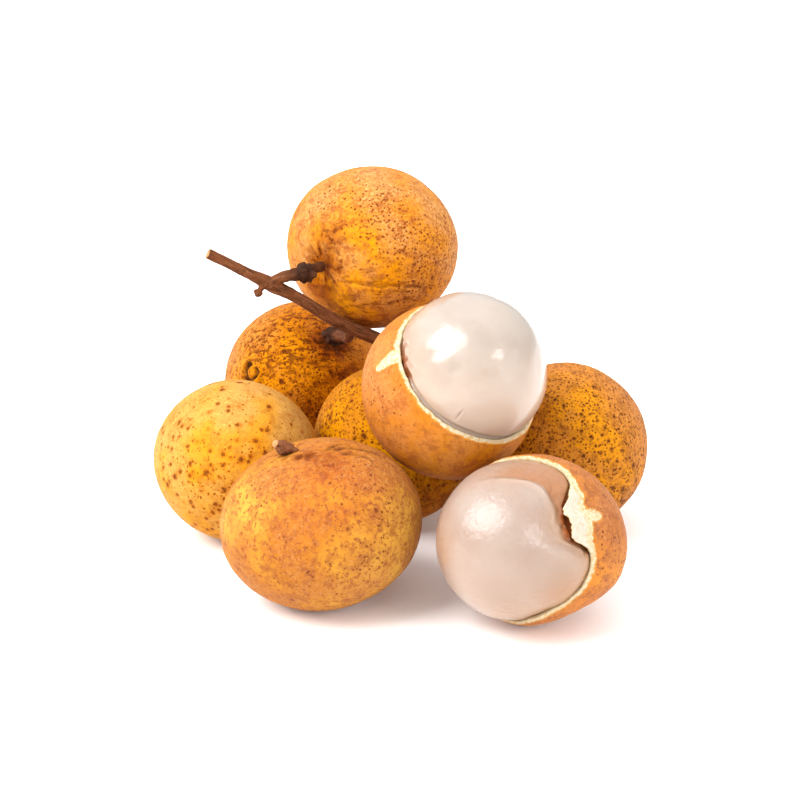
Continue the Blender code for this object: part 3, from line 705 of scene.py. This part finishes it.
# The upper half-peeled fruit. Its rind is a cup 0.75 mm thick, torn open by hand: brown skin outside, a
# cream pith that shows along the tear, and a smooth pinkish lining. A rip in the skin runs down from the edge.
# The flesh stands in it, a wet, milky, translucent ball that bulges out of the opening.
RIND_WALL = 0.75 * MM
RIND_COLUMNS = 420
RIND_ROWS = 96
LINING_ROWS = 44
UPPER = dict(
    centre=(7.5, -12.1, 29.75), opening=(0.455, -0.480, 0.750), turn=40, half=(14.4, 13.8, 12.4), seed=51.0,
    press=0.0, lay=0.0,
    rim=[(-180, 60.5), (-168, 60.5), (-150, 62), (-143, 63), (-117, 66), (-90, 71.5), (-70, 75), (-50, 76.5),
         (-25, 74), (0, 68.5), (30, 62.5), (60, 60), (100, 60), (140, 60)],
    skin_edge=[(-180, 0.30), (-90, 0.34), (0, 0.30), (70, 0.30), (85, 0.55), (101, 0.75), (112, 0.35), (140, 0.25)],
    rips=[[(59.5, 110, 1.25), (65.5, 109.5, 1.05), (70, 110.5, 0.85), (74.5, 111, 0.72), (78.0, 111, 0.68)]],
    flare=[(-180, 0.0), (180, 0.0)], ragged=[(-180, 1.0), (180, 1.0)], drawn_back=[(95, 0.0), (104, 0.8), (128, 1.0), (138, 0.0)],
    look=dict(
        seed=51.0, ground="#B56A23", tan="#B5763E", yellow="#B7720C", mottle="#8B4C21", mottling=0.65,
        freckle="#673511", halo="#8B4C21", streak="#7C4018", dots=0.06, spots=0.0, streaks=0.04,
        tans=0.20, yellows=0.15,
        patches=dict(
            tan=[(-0.80, 0.30, 30, 0.75), (-0.85, -0.1, 26, 0.55), (0.55, -0.78, 22, 0.5)],
            yellow=[(-0.05, -0.85, 30, 0.95), (-0.55, -0.6, 26, 0.5)],
            red=[(-0.55, 0.10, 26, 0.45)],
            dots=[(-0.85, -0.15, 14, 0.5)],
        ),
    ),
)


def round_profile(knots):
    """A smooth closed curve through knots of turn and value, as a function of turn, all in degrees."""
    knots = sorted(knots)
    fine = np.arange(-180, 180, 0.5)
    turns = [knots[-1][0] - 360] + [knot[0] for knot in knots] + [knots[0][0] + 360]
    values = [knots[-1][1]] + [knot[1] for knot in knots] + [knots[0][1]]
    curve = np.interp(fine, turns, values)
    window = np.exp(-(np.arange(-8, 9) / 4.0) ** 2)
    window /= window.sum()
    curve = np.convolve(np.concatenate((curve[-8:], curve, curve[:8])), window, "valid")
    return lambda turn: np.interp((np.asarray(turn) + 180) % 360 - 180, fine, curve, period=360)


def table_press(form, turn, angle):
    """How far a peeled fruit's rind is pressed in where it lies."""
    press = np.cos(np.clip(((turn + 52 + 180) % 360 - 180) / 44, -1, 1) * math.pi) * 0.5 + 0.5
    press = press * (np.cos(np.clip((angle - 105) / 44, -1, 1) * math.pi) * 0.5 + 0.5)
    return form["press"] * MM * press


def peeled_rind(name, look_of, form):
    """The rind that is left on a peeled fruit: outer skin, torn edge and lining, closed as one shell."""
    centre = Vector(form["centre"]) * MM
    turned = axes_along(form["opening"], math.radians(form["turn"]))
    half = np.array(form["half"]) * MM
    radius = float(half.mean())
    turns = np.linspace(-180, 180, RIND_COLUMNS, endpoint=False)
    rim = round_profile(form["rim"])(turns)
    around = np.stack((np.cos(np.radians(turns)), np.sin(np.radians(turns)), np.zeros_like(turns)), 1) * radius
    # The edge is torn, not cut: it wanders by a quarter of a millimetre and frays in tenths.
    ragged = round_profile(form["ragged"])(turns)
    rim = rim + np.degrees(ragged * (0.24 * noise_at(around, 1.9 * MM, form["seed"])
                                     + 0.11 * noise_at(around, 0.6 * MM, form["seed"] + 2)) * MM / radius)
    depth_rows = []
    share = np.linspace(0, 1, RIND_ROWS)
    outer = 0.25 * share + 0.75 * share ** 2.2
    inner_share = np.linspace(0, 1, LINING_ROWS)
    inner = 0.35 * inner_share + 0.65 * inner_share ** 2.0
    rows = [(step, 0.0) for step in outer[::-1][1:]]
    rows += [(0.0, deep) for deep in (0.22, 0.45, 0.78)]
    rows += [(step, 1.0) for step in inner[:-1]]
    bulge = [0.0] * (RIND_ROWS - 1) + [0.10, 0.14, 0.10] + [0.0] * (LINING_ROWS - 1)
    lie = np.radians(turns)
    points = []
    angles = []
    for (step, deep), swell in zip(rows, bulge):
        from_axis = rim + step * (180 - rim) - np.degrees(swell * MM / radius)
        angles.append(from_axis)
        away = np.radians(from_axis)
        unit = np.stack((np.sin(away) * np.cos(lie), np.sin(away) * np.sin(lie), np.cos(away)), 1)
        points.append(unit)
        depth_rows.append(np.full(len(turns), deep))
    outer_pole = np.array([[0.0, 0.0, -1.0]])
    unit = np.concatenate(points + [outer_pole, outer_pole])
    deep = np.concatenate(depth_rows + [np.array([0.0]), np.array([1.0])])
    from_axis = np.concatenate(angles + [np.array([180.0, 180.0])])
    turn_at = np.concatenate([turns] * len(rows) + [np.array([0.0, 0.0])])
    rim_at = np.concatenate([rim] * len(rows) + [np.array([60.0, 60.0])])
    places = unit * half
    lumps = 0.5 * LUMP_HEIGHT * noise_at(places, LUMP_SIZE, form["seed"])
    past_rim = np.radians(from_axis - rim_at) * radius
    flare = round_profile(form["flare"])(turn_at) * np.clip(1 - past_rim / (3.6 * MM), 0, 1) ** 1.6
    lumps = lumps + flare * MM - table_press(form, turn_at, from_axis)
    outside = 1 - deep
    grain = GRAIN_HEIGHT * noise_at(places, GRAIN_SIZE, form["seed"] + 5)
    grain += 0.06 * MM * noise_at(places, 3.0 * MM, form["seed"] + 9)
    lumps = lumps + outside * grain
    # How far each place is inside the brown skin, in millimetres: below zero the cream pith shows.
    fray = 0.16 * noise_at(places, 0.9 * MM, form["seed"] + 7) + 0.08 * noise_at(places, 0.4 * MM, form["seed"] + 8)
    skin = past_rim / MM - round_profile(form["skin_edge"])(turn_at)
    on_ball = unit * radius
    for rip in form["rips"]:
        line = []
        for t, phi, width in rip:
            t, phi = math.radians(t), math.radians(phi)
            line.append((radius * math.sin(t) * math.cos(phi), radius * math.sin(t) * math.sin(phi),
                         radius * math.cos(t)))
        off, along = from_line(on_ball, np.array(line))
        widths = np.interp(along, np.linspace(0, 1, len(rip)), [point[2] for point in rip])
        skin = np.minimum(skin, off / MM - widths)
    skin = skin + fray
    skin = np.where(deep > 0.01, -0.5, skin)
    bared = np.clip(0.5 - skin / 0.24, 0, 1) * (deep < 0.01)
    lumps = lumps - 0.16 * MM * bared + 0.05 * MM * np.exp(-((skin - 0.25) / 0.2) ** 2) * outside
    places = places + unit * (lumps - deep * RIND_WALL)[:, None]
    faces = []
    count = len(turns)
    for row in range(len(rows) - 1):
        for column in range(count):
            after = (column + 1) % count
            first, second = row * count, (row + 1) * count
            faces.append((first + column, first + after, second + after, second + column))
    last = (len(rows) - 1) * count
    poles = len(rows) * count
    for column in range(count):
        after = (column + 1) % count
        faces.append((poles, after, column))
        faces.append((poles + 1, last + column, last + after))
    to_world = np.array(turned)
    directions = (places / np.linalg.norm(places, axis=1)[:, None]) @ to_world.T
    marks = patch_marks(look_of, directions)
    marks["crease"] = np.zeros(len(places))
    marks["skin"] = skin
    marks["lining"] = np.clip((deep - 0.80) / 0.15, 0, 1) * np.clip((past_rim / MM - 0.10) / 0.35, 0, 1)
    in_world = places @ to_world.T + np.array(centre)
    in_world[:, 2] = np.maximum(in_world[:, 2], np.where(deep > 0.5, 0.62 * MM, 0.0))
    piece = new_piece("longan_" + name, in_world - np.array(centre), faces,
                      torn_rind(name + "_torn", look_of), marks, centre)
    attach(piece, "root")
    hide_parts(name)
    return piece


def torn_rind(name, look):
    """Fresh-torn longan rind: the same dull skin outside, a matt, fibrous cream pith along the tear, and a
    smooth, damp, pinkish lining that shines a little."""
    made = bpy.data.materials.new(name)
    made.use_nodes = True
    tree = made.node_tree
    tree.nodes.clear()
    colour, relief = rind_skin(tree, look)
    place = node(tree, "ShaderNodeTexCoord", {}, 3)
    fibre = node(tree, "ShaderNodeTexNoise",
                 {"Vector": place, "Scale": 1 / (0.5 * MM), "Detail": 4.0, "Roughness": 0.65})
    soft = node(tree, "ShaderNodeTexNoise", {"Vector": place, "Scale": 1 / (2.4 * MM), "Detail": 3.0})
    frayed = node(tree, "ShaderNodeMath", {0: mark(tree, "skin"), 1: ramp(tree, fibre, 0.2, 0.8, -0.12, 0.12)},
                  operation="ADD")
    pith = blend_in(tree, ramp(tree, fibre, 0.38, 0.64, 0.0, 0.8), linear("#C2B69A"), linear("#B49462"))
    thick = blend_in(tree, ramp(tree, fibre, 0.40, 0.70, 0.0, 0.45), linear("#C3B7A8"), linear("#BA9C7C"))
    pith = blend_in(tree, ramp(tree, mark(tree, "skin"), -0.55, -1.5), pith, thick)
    pith = blend_in(tree, ramp(tree, fibre, 0.60, 0.72, 0.0, 0.55), pith, linear("#A4703E"))
    lining = blend_in(tree, ramp(tree, soft, 0.35, 0.65), linear("#A87C60"), linear("#B89478"))
    colour = blend_in(tree, ramp(tree, frayed, 0.42, 0.05, 0.0, 0.55), colour, linear("#C08A3A"))
    colour = blend_in(tree, ramp(tree, frayed, 0.10, -0.04), colour, pith)
    colour = blend_in(tree, mark(tree, "lining"), colour, lining)
    bumps = node(tree, "ShaderNodeBump", {"Strength": 0.4, "Distance": 0.12 * MM, "Height": relief})
    shader = node(tree, "ShaderNodeBsdfPrincipled", {
        "Base Color": colour, "Roughness": ramp(tree, mark(tree, "lining"), 0.0, 1.0, 0.62, 0.38), "IOR": 1.45,
        "Specular IOR Level": 0.12, "Specular Tint": linear("#FFC88A"), "Normal": bumps,
        "Sheen Weight": 0.05, "Sheen Roughness": 0.45, "Sheen Tint": linear("#FFB060"),
    })
    node(tree, "ShaderNodeOutputMaterial", {0: shader})
    return made


peeled_rind("rind_upper", UPPER["look"], UPPER)

FLESH_BALL, FLESH_FACES = unit_ball(7)


def wet_flesh(name, top, shade, low, broken):
    """Raw longan flesh: a milky jelly, wet with its own juice. Light soaks a few millimetres into it, so its
    shading is soft, and the film of juice gives bright, slightly broken highlights. Its colour also carries
    painted light: the lower side and the shaded groove by the rim are lightened, and the edges of the flesh
    and the crack carry painted shade; near the rim the rind's tone shows through."""
    made = bpy.data.materials.new(name)
    made.use_nodes = True
    tree = made.node_tree
    tree.nodes.clear()
    place = node(tree, "ShaderNodeTexCoord", {}, 3)
    milk = node(tree, "ShaderNodeTexNoise", {"Vector": place, "Scale": 1 / (6 * MM), "Detail": 4.0})
    ripple = node(tree, "ShaderNodeTexNoise",
                  {"Vector": place, "Scale": 1 / ((1.6 - 0.7 * broken) * MM), "Detail": 4.0, "Roughness": 0.5})
    colour = blend_in(tree, ramp(tree, milk, 0.35, 0.68, 0.0, 0.7), linear(top), linear(shade))
    # The low colour is painted light, lifting the lower side and the groove by the rim.
    colour = blend_in(tree, mark(tree, "low"), colour, linear(low))
    # The deep colour is the rind's tone showing through near the rim, and painted shade on the flesh's edges.
    colour = blend_in(tree, mark(tree, "deep"), colour, linear("#966C45"))
    colour = blend_in(tree, mark(tree, "hollow"), colour, linear("#96653F"))
    # The crack colour is painted shade in the gap where the flesh has drawn back.
    colour = blend_in(tree, mark(tree, "crack"), colour, linear("#8A4A22"))
    bumps = node(tree, "ShaderNodeBump", {"Strength": 0.30 + 0.30 * broken, "Distance": 0.25 * MM, "Height": ripple})
    shader = node(tree, "ShaderNodeBsdfPrincipled", {
        "Base Color": colour, "Roughness": 0.30, "IOR": 1.37, "Normal": bumps, "Coat Normal": bumps,
        "Subsurface Weight": ramp(tree, mark(tree, "thin"), 0.0, 1.0, 1.0, 0.35),
        "Subsurface Radius": (1.0, 0.88, 0.76), "Subsurface Scale": 5.0 * MM,
        "Coat Weight": 0.9 - 0.3 * broken, "Coat Roughness": 0.12 - 0.05 * broken, "Coat IOR": 1.37,
    })
    node(tree, "ShaderNodeOutputMaterial", {0: shader})
    return made


def flesh_ball(name, form, cup, material):
    """Flesh that is round where it stands out, longer where it fills its cup, and pressed to the cup's wall."""
    centre = Vector(form["centre"]) * MM
    turned = axes_along(form["opening"], math.radians(form["turn"]))
    to_world = np.array(turned)
    unit = FLESH_BALL
    tall = np.where(unit[:, 2] > 0, form["outward"], form["inward"]) * MM
    places = unit * np.stack((np.full(len(unit), form["radius"] * MM),) * 2 + (tall,), 1)
    from_axis = np.degrees(np.arccos(np.clip(unit[:, 2], -1, 1)))
    turn_at = np.degrees(np.arctan2(unit[:, 1], unit[:, 0]))
    raised = 0.2 * LUMP_HEIGHT * noise_at(places, LUMP_SIZE, form["seed"])
    raised += 0.06 * MM * noise_at(places, 4.5 * MM, form["seed"] + 3)
    directions = unit @ to_world.T
    for right, up, spread, amount in form["bulges"]:
        off = np.degrees(np.arccos(np.clip(directions @ np.array(facing(right, up)), -1, 1)))
        raised += amount * MM * np.exp(-(off / spread) ** 2)
    hollow = np.zeros(len(unit))
    if form["lip"]:
        lip = round_profile(form["lip"])(turn_at) + 1.6 * noise_at(places, 2.2 * MM, form["seed"] + 5)
        reach = round_profile(form["hollow"])(turn_at)
        beyond = from_axis - lip
        hollow = reach * np.clip(beyond / 5.0, 0, 1) ** 0.8
        raised += 0.14 * MM * np.clip(reach, 0, 1) * np.exp(-((beyond + 2.5) / 2.6) ** 2)
    places = places + unit * raised[:, None]
    # The torn edge of the cup, seen from the middle of the flesh: the flesh widens until it meets that edge,
    # except where it has drawn back from the rind.
    cup_turned = axes_along(cup["opening"], math.radians(cup["turn"]))
    inner = (np.array(cup["half"]) - 0.85) * MM
    turns = np.arange(-180.0, 180.0, 1.0)
    edge_angle = np.radians(round_profile(cup["rim"])(turns) - 1.8)
    edge = np.stack((np.sin(edge_angle) * np.cos(np.radians(turns)), np.sin(edge_angle) * np.sin(np.radians(turns)),
                     np.cos(edge_angle)), 1) * (inner + 0.42 * MM)
    edge = edge @ np.array(cup_turned).T + np.array(cup["centre"]) * MM - np.array(centre)
    edge = edge @ to_world
    edge_reach = np.linalg.norm(edge, axis=1)
    edge_fall = np.degrees(np.arccos(edge[:, 2] / edge_reach))
    edge_turn = np.degrees(np.arctan2(edge[:, 1], edge[:, 0]))
    order = np.argsort(edge_turn)
    reach = np.linalg.norm(places, axis=1)
    fall = np.degrees(np.arccos(np.clip(places[:, 2] / reach, -1, 1)))
    turn_true = np.degrees(np.arctan2(places[:, 1], places[:, 0]))
    rim_fall = np.interp(turn_true, edge_turn[order], edge_fall[order], period=360)
    rim_reach = np.interp(turn_true, edge_turn[order], edge_reach[order], period=360)
    tall_there = np.where(rim_fall < 90, form["outward"], form["inward"]) * MM
    ball_reach = 1 / np.sqrt((np.sin(np.radians(rim_fall)) / (form["radius"] * MM)) ** 2
                             + (np.cos(np.radians(rim_fall)) / tall_there) ** 2)
    drawn_back = round_profile(cup["drawn_back"])
    widening = np.clip((fall - rim_fall + form["widens_over"]) / form["widens_over"], 0, 1)
    widening = widening * widening * (3 - 2 * widening)
    rim_turn = np.interp(turn_true, edge_turn[order], turns[order], period=360)
    ragged = noise_at(places, 1.1 * MM, form["seed"] + 11)
    gap = drawn_back(rim_turn) * (0.60 + 0.70 * ragged * np.clip((fall - rim_fall + 12) / 9, 0, 1))
    wider = (rim_reach - ball_reach) * widening * (1 - gap)
    places = places * (1 + wider / reach)[:, None]
    # Inside the cup the flesh is held by the wall.
    in_world = places @ to_world.T + np.array(centre)
    in_cup = (in_world - np.array(cup["centre"]) * MM) @ np.array(cup_turned)
    away = np.linalg.norm(in_cup, axis=1)
    cup_angle = np.degrees(np.arccos(np.clip(in_cup[:, 2] / away, -1, 1)))
    cup_turn = np.degrees(np.arctan2(in_cup[:, 1], in_cup[:, 0]))
    past_rim = cup_angle - round_profile(cup["rim"])(cup_turn)
    wall = away / np.linalg.norm(in_cup / inner, axis=1) - table_press(cup, cup_turn, cup_angle)
    held = np.clip((past_rim + 0.4) / 1.0, 0, 1)
    away_now = away + np.minimum(wall - away, 0) * held
    if form["lip"]:
        near_wall = np.clip((past_rim + 16) / 16, 0, 1)
        away_now -= round_profile(form["hollow_depth"])(turn_at) * MM * hollow * (1 - near_wall)
    in_cup = in_cup * (away_now / away)[:, None]
    in_world = in_cup @ np.array(cup_turned).T + np.array(cup["centre"]) * MM
    in_world[:, 2] = np.maximum(in_world[:, 2], 0.8 * MM)
    # The deep mark is the rind's tone showing through the flesh near the rim, and the clear patches are painted shade
    # on the edges of the flesh.
    near_rim = round_profile(form["tinted"])(cup_turn) * np.clip((past_rim + 26) / 26, 0, 1) ** 1.5
    for right, up, spread, amount in form["clear"]:
        off = np.degrees(np.arccos(np.clip(directions @ np.array(facing(right, up)), -1, 1)))
        near_rim = np.maximum(near_rim, amount * np.exp(-(off / spread) ** 2))
    # Painted shade in the gap where the flesh has drawn back from the rind.
    crack = drawn_back(cup_turn) * np.clip((past_rim + 5 + 5 * ragged) / 4, 0, 1)
    thin = np.clip((past_rim + 24) / 20, 0, 1)
    # Painted light: the flesh is lightened on its lower side and along the shaded groove by the rim.
    low = np.clip(0.35 - directions @ np.array(TO_TOP), 0, 1)
    low = np.maximum(low, (1 - round_profile(form["tinted"])(cup_turn)) * np.clip((past_rim + 24) / 14, 0, 1))
    marks = dict(hollow=hollow, deep=np.clip(near_rim, 0, 1), crack=crack, thin=thin, low=low)
    piece = new_piece("longan_" + name, in_world - np.array(centre), FLESH_FACES, material, marks, centre)
    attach(piece, "root")
    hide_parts(name)
    return piece


flesh_ball("flesh_upper", dict(
    centre=(10.9, -16.0, 34.5), opening=(0.455, -0.480, 0.750), turn=40, radius=10.75, outward=11.9, inward=15.3,
    seed=57.0, lip=None, widens_over=62, tinted=[(-180, 0.2), (-60, 0.05), (60, 0.05), (100, 0.5)],
    # clear: painted shade on the edges of the flesh.
    clear=[(0.99, -0.12, 14, 0.30), (0.20, -0.90, 24, 0.20)], bulges=[
        (0.15, 0.95, 40, 0.45), (-0.75, 0.50, 26, 0.50), (-0.45, -0.43, 10, 0.30), (-0.30, -0.03, 5, -0.22),
        (-0.36, -0.20, 6, -0.16), (0.62, 0.12, 7, -0.10), (0.86, 0.05, 8, -0.12),
    ],
), UPPER, wet_flesh("upper_longan_flesh", "#A0958B", "#998A7E", "#B8A697", 0.0))


# The lower half-peeled fruit lies on the table with its opening towards the front. A tongue of rind was left
# standing at its right, with the skin ripped off it, and the flesh has drawn back from the rind beside it,
# behind a thin lip.
LOWER = dict(
    centre=(20.3, -30.7, 12.76), opening=(-0.574, -0.764, 0.297), turn=0, half=(13.8, 12.95, 13.3), seed=63.0,
    press=1.3,
    rim=[(-180, 70), (-150, 71.5), (-115, 74), (-94, 73.8), (-80, 69.7), (-62, 63.5), (-47, 62.5), (-32, 66.9),
         (-16, 69.5), (-2, 70.5), (8, 68), (12.5, 62), (17, 54.5), (24, 53.2), (32, 52.3), (39, 53.6), (44, 54.5),
         (50, 61), (55, 66), (60, 72), (69, 76.7), (78, 77.5), (92, 77), (112, 76), (135, 73), (152, 66.5), (165, 68)],
    skin_edge=[(-180, 0.30), (-94, 0.45), (-80, 0.30), (-62, 0.55), (-47, 0.45), (-30, 0.35), (0, 0.45), (9, 0.7),
               (14, 1.9), (18, 3.6), (26, 3.9), (40, 4.0), (46, 3.6), (52, 2.2), (58, 0.9), (66, 0.55), (90, 0.40),
               (130, 0.30)],
    rips=[[(66, 34, 0.9), (73, 33.5, 0.95), (77.5, 33, 0.65)]],
    ragged=[(-180, 1.0), (5, 1.0), (12, 2.6), (45, 2.6), (55, 1.0), (180, 1.0)],
    drawn_back=[(5, 0.0), (14, 1.0), (46, 1.0), (56, 0.0)],
    flare=[(-180, 0.0), (5, 0.0), (14, 0.9), (22, 1.35), (40, 1.35), (50, 0.8), (60, 0.1), (70, 0.0), (180, 0.0)],
    look=dict(
        seed=63.0, ground="#AC6428", tan="#A4663C", yellow="#CC8632", mottle="#7C4630", mottling=0.55,
        freckle="#5A2E18", halo="#7C4630", streak="#6B3B21", dots=0.14, spots=0.0, streaks=0.08,
        tans=0.35, yellows=0.05,
        patches=dict(
            tan=[(0.75, 0.60, 34, 0.9), (0.95, 0.1, 30, 0.7)],
            yellow=[(0.80, -0.50, 24, 0.65), (0.45, -0.85, 26, 0.95), (0.1, -0.98, 26, 0.8)],
            stain_and_shade=[(0.88, 0.20, 12, 0.30), (0.62, 0.62, 9, 0.28)],
            dots=[(0.90, -0.2, 18, 0.5)],
        ),
    ),
)
peeled_rind("rind_lower", LOWER["look"], LOWER)
flesh_ball("flesh_lower", dict(
    centre=(16.9, -34.7, 14.6), opening=(-0.574, -0.764, 0.297), turn=0, radius=11.5, outward=12.0, inward=15.0,
    seed=69.0, widens_over=50, bulges=[(-0.37, 0.38, 23, -0.28)],
    tinted=[(-180, 0.5), (-110, 0.75), (-70, 1.0), (0, 1.0), (60, 0.7), (120, 0.5)],
    # clear: painted shade on the edges of the flesh.
    clear=[(-0.97, -0.15, 26, 0.45), (0.0, -0.95, 32, 0.50), (0.60, -0.62, 24, 0.85), (0.0, 0.90, 22, 0.30)],
    hollow_depth=[(-180, 0.7), (-10, 0.9), (2, 1.4), (14, 1.5), (40, 1.5), (50, 1.2), (58, 0.9), (70, 0.7), (179, 0.7)],
    lip=[(-180, 75), (-20, 100), (1.7, 99.8), (9.4, 85.3), (15, 71.5), (27, 70), (38.6, 69.6), (61.9, 69.7),
         (77.7, 62.1), (94.8, 55.4), (112, 52), (150, 60)],
    hollow=[(-180, 0.0), (-14, 0.0), (2, 0.55), (12, 0.9), (20, 1.0), (75, 1.0), (92, 0.65), (108, 0.22), (125, 0.0),
            (179, 0.0)],
), LOWER, wet_flesh("lower_longan_flesh", "#9C8C81", "#957E71", "#A28E80", 1.0))


# The studio is not part of the bunch: a plain white table that runs out of sight, a white room round it, a
# large soft light at the upper left, a small one at the right, and the camera where the photograph was taken.
TARGET = Vector((-0.1, -18.0, 30.46)) * MM
CAMERA_DISTANCE = 360 * MM
TABLE_SIZE = 6.0

table_mesh = bpy.data.meshes.new("table_top")
corners = [(-TABLE_SIZE, -TABLE_SIZE, -0.00002), (TABLE_SIZE, -TABLE_SIZE, -0.00002),
           (TABLE_SIZE, TABLE_SIZE, -0.00002), (-TABLE_SIZE, TABLE_SIZE, -0.00002)]
table_mesh.from_pydata(corners, [], [(0, 1, 2, 3)])
table_paint = bpy.data.materials.new("white_table_paint")
table_paint.use_nodes = True
paint = table_paint.node_tree.nodes["Principled BSDF"]
paint.inputs["Base Color"].default_value = linear("#F6F2F1")
paint.inputs["Roughness"].default_value = 0.6
paint.inputs["Specular IOR Level"].default_value = 0.2
paint.inputs["Emission Color"].default_value = (1.0, 1.0, 1.0, 1.0)
paint.inputs["Emission Strength"].default_value = 0.07
table_mesh.materials.append(table_paint)
table_top = bpy.data.objects.new("table_top", table_mesh)
bpy.context.scene.collection.objects.link(table_top)

room = bpy.data.worlds.new("white_room")
room.use_nodes = True
room_tree = room.node_tree
room_tree.nodes.clear()
seen_directly = node(room_tree, "ShaderNodeLightPath", {}, 0)
room_way = node(room_tree, "ShaderNodeSeparateXYZ", {0: node(room_tree, "ShaderNodeTexCoord", {}, 0)}, 2)
room_light = node(room_tree, "ShaderNodeMapRange", {0: room_way, 1: 0.0, 2: 1.0, 3: 0.48, 4: 1.95})
room_light = node(room_tree, "ShaderNodeMix", {0: seen_directly, 2: room_light, 3: 1.0}, 0, data_type="FLOAT")
room_glow = node(room_tree, "ShaderNodeBackground", {0: (1.0, 1.0, 1.0, 1.0), 1: room_light})
node(room_tree, "ShaderNodeOutputWorld", {0: room_glow})
bpy.context.scene.world = room


def soft_light(name, direction, distance, width, height, power):
    """A flat soft light that faces the bunch from a direction, in metres and watts."""
    panel = bpy.data.lights.new(name, "AREA")
    panel.shape = "RECTANGLE"
    panel.size = width
    panel.size_y = height
    panel.energy = power
    lamp = bpy.data.objects.new(name, panel)
    bpy.context.scene.collection.objects.link(lamp)
    way = Vector(direction).normalized()
    lamp.location = TARGET + way * distance
    lamp.rotation_mode = "QUATERNION"
    lamp.rotation_quaternion = way.to_track_quat("Z", "Y")


soft_light("window_light", (-0.63, -0.27, 0.73), 0.9, 0.62, 0.62, 12.5)
soft_light("fill_light", (0.55, -0.66, 0.50), 0.9, 0.24, 0.24, 1.8)
soft_light("white_card", (0.86, -0.50, 0.12), 0.9, 0.80, 0.45, 2.4)

camera_data = bpy.data.cameras.new("camera")
camera_data.sensor_width = 36.0
camera_data.lens = 36.0 * 6.55 * 360 / 800
camera_data.clip_start = 0.01
camera_data.clip_end = 20.0
camera = bpy.data.objects.new("camera", camera_data)
bpy.context.scene.collection.objects.link(camera)
camera.location = TARGET + TO_FRONT * CAMERA_DISTANCE
camera.rotation_mode = "QUATERNION"
camera.rotation_quaternion = TO_FRONT.to_track_quat("Z", "Y")
bpy.context.scene.camera = camera
bpy.context.scene.view_settings.view_transform = "Standard"
bpy.context.scene.view_settings.look = "None"
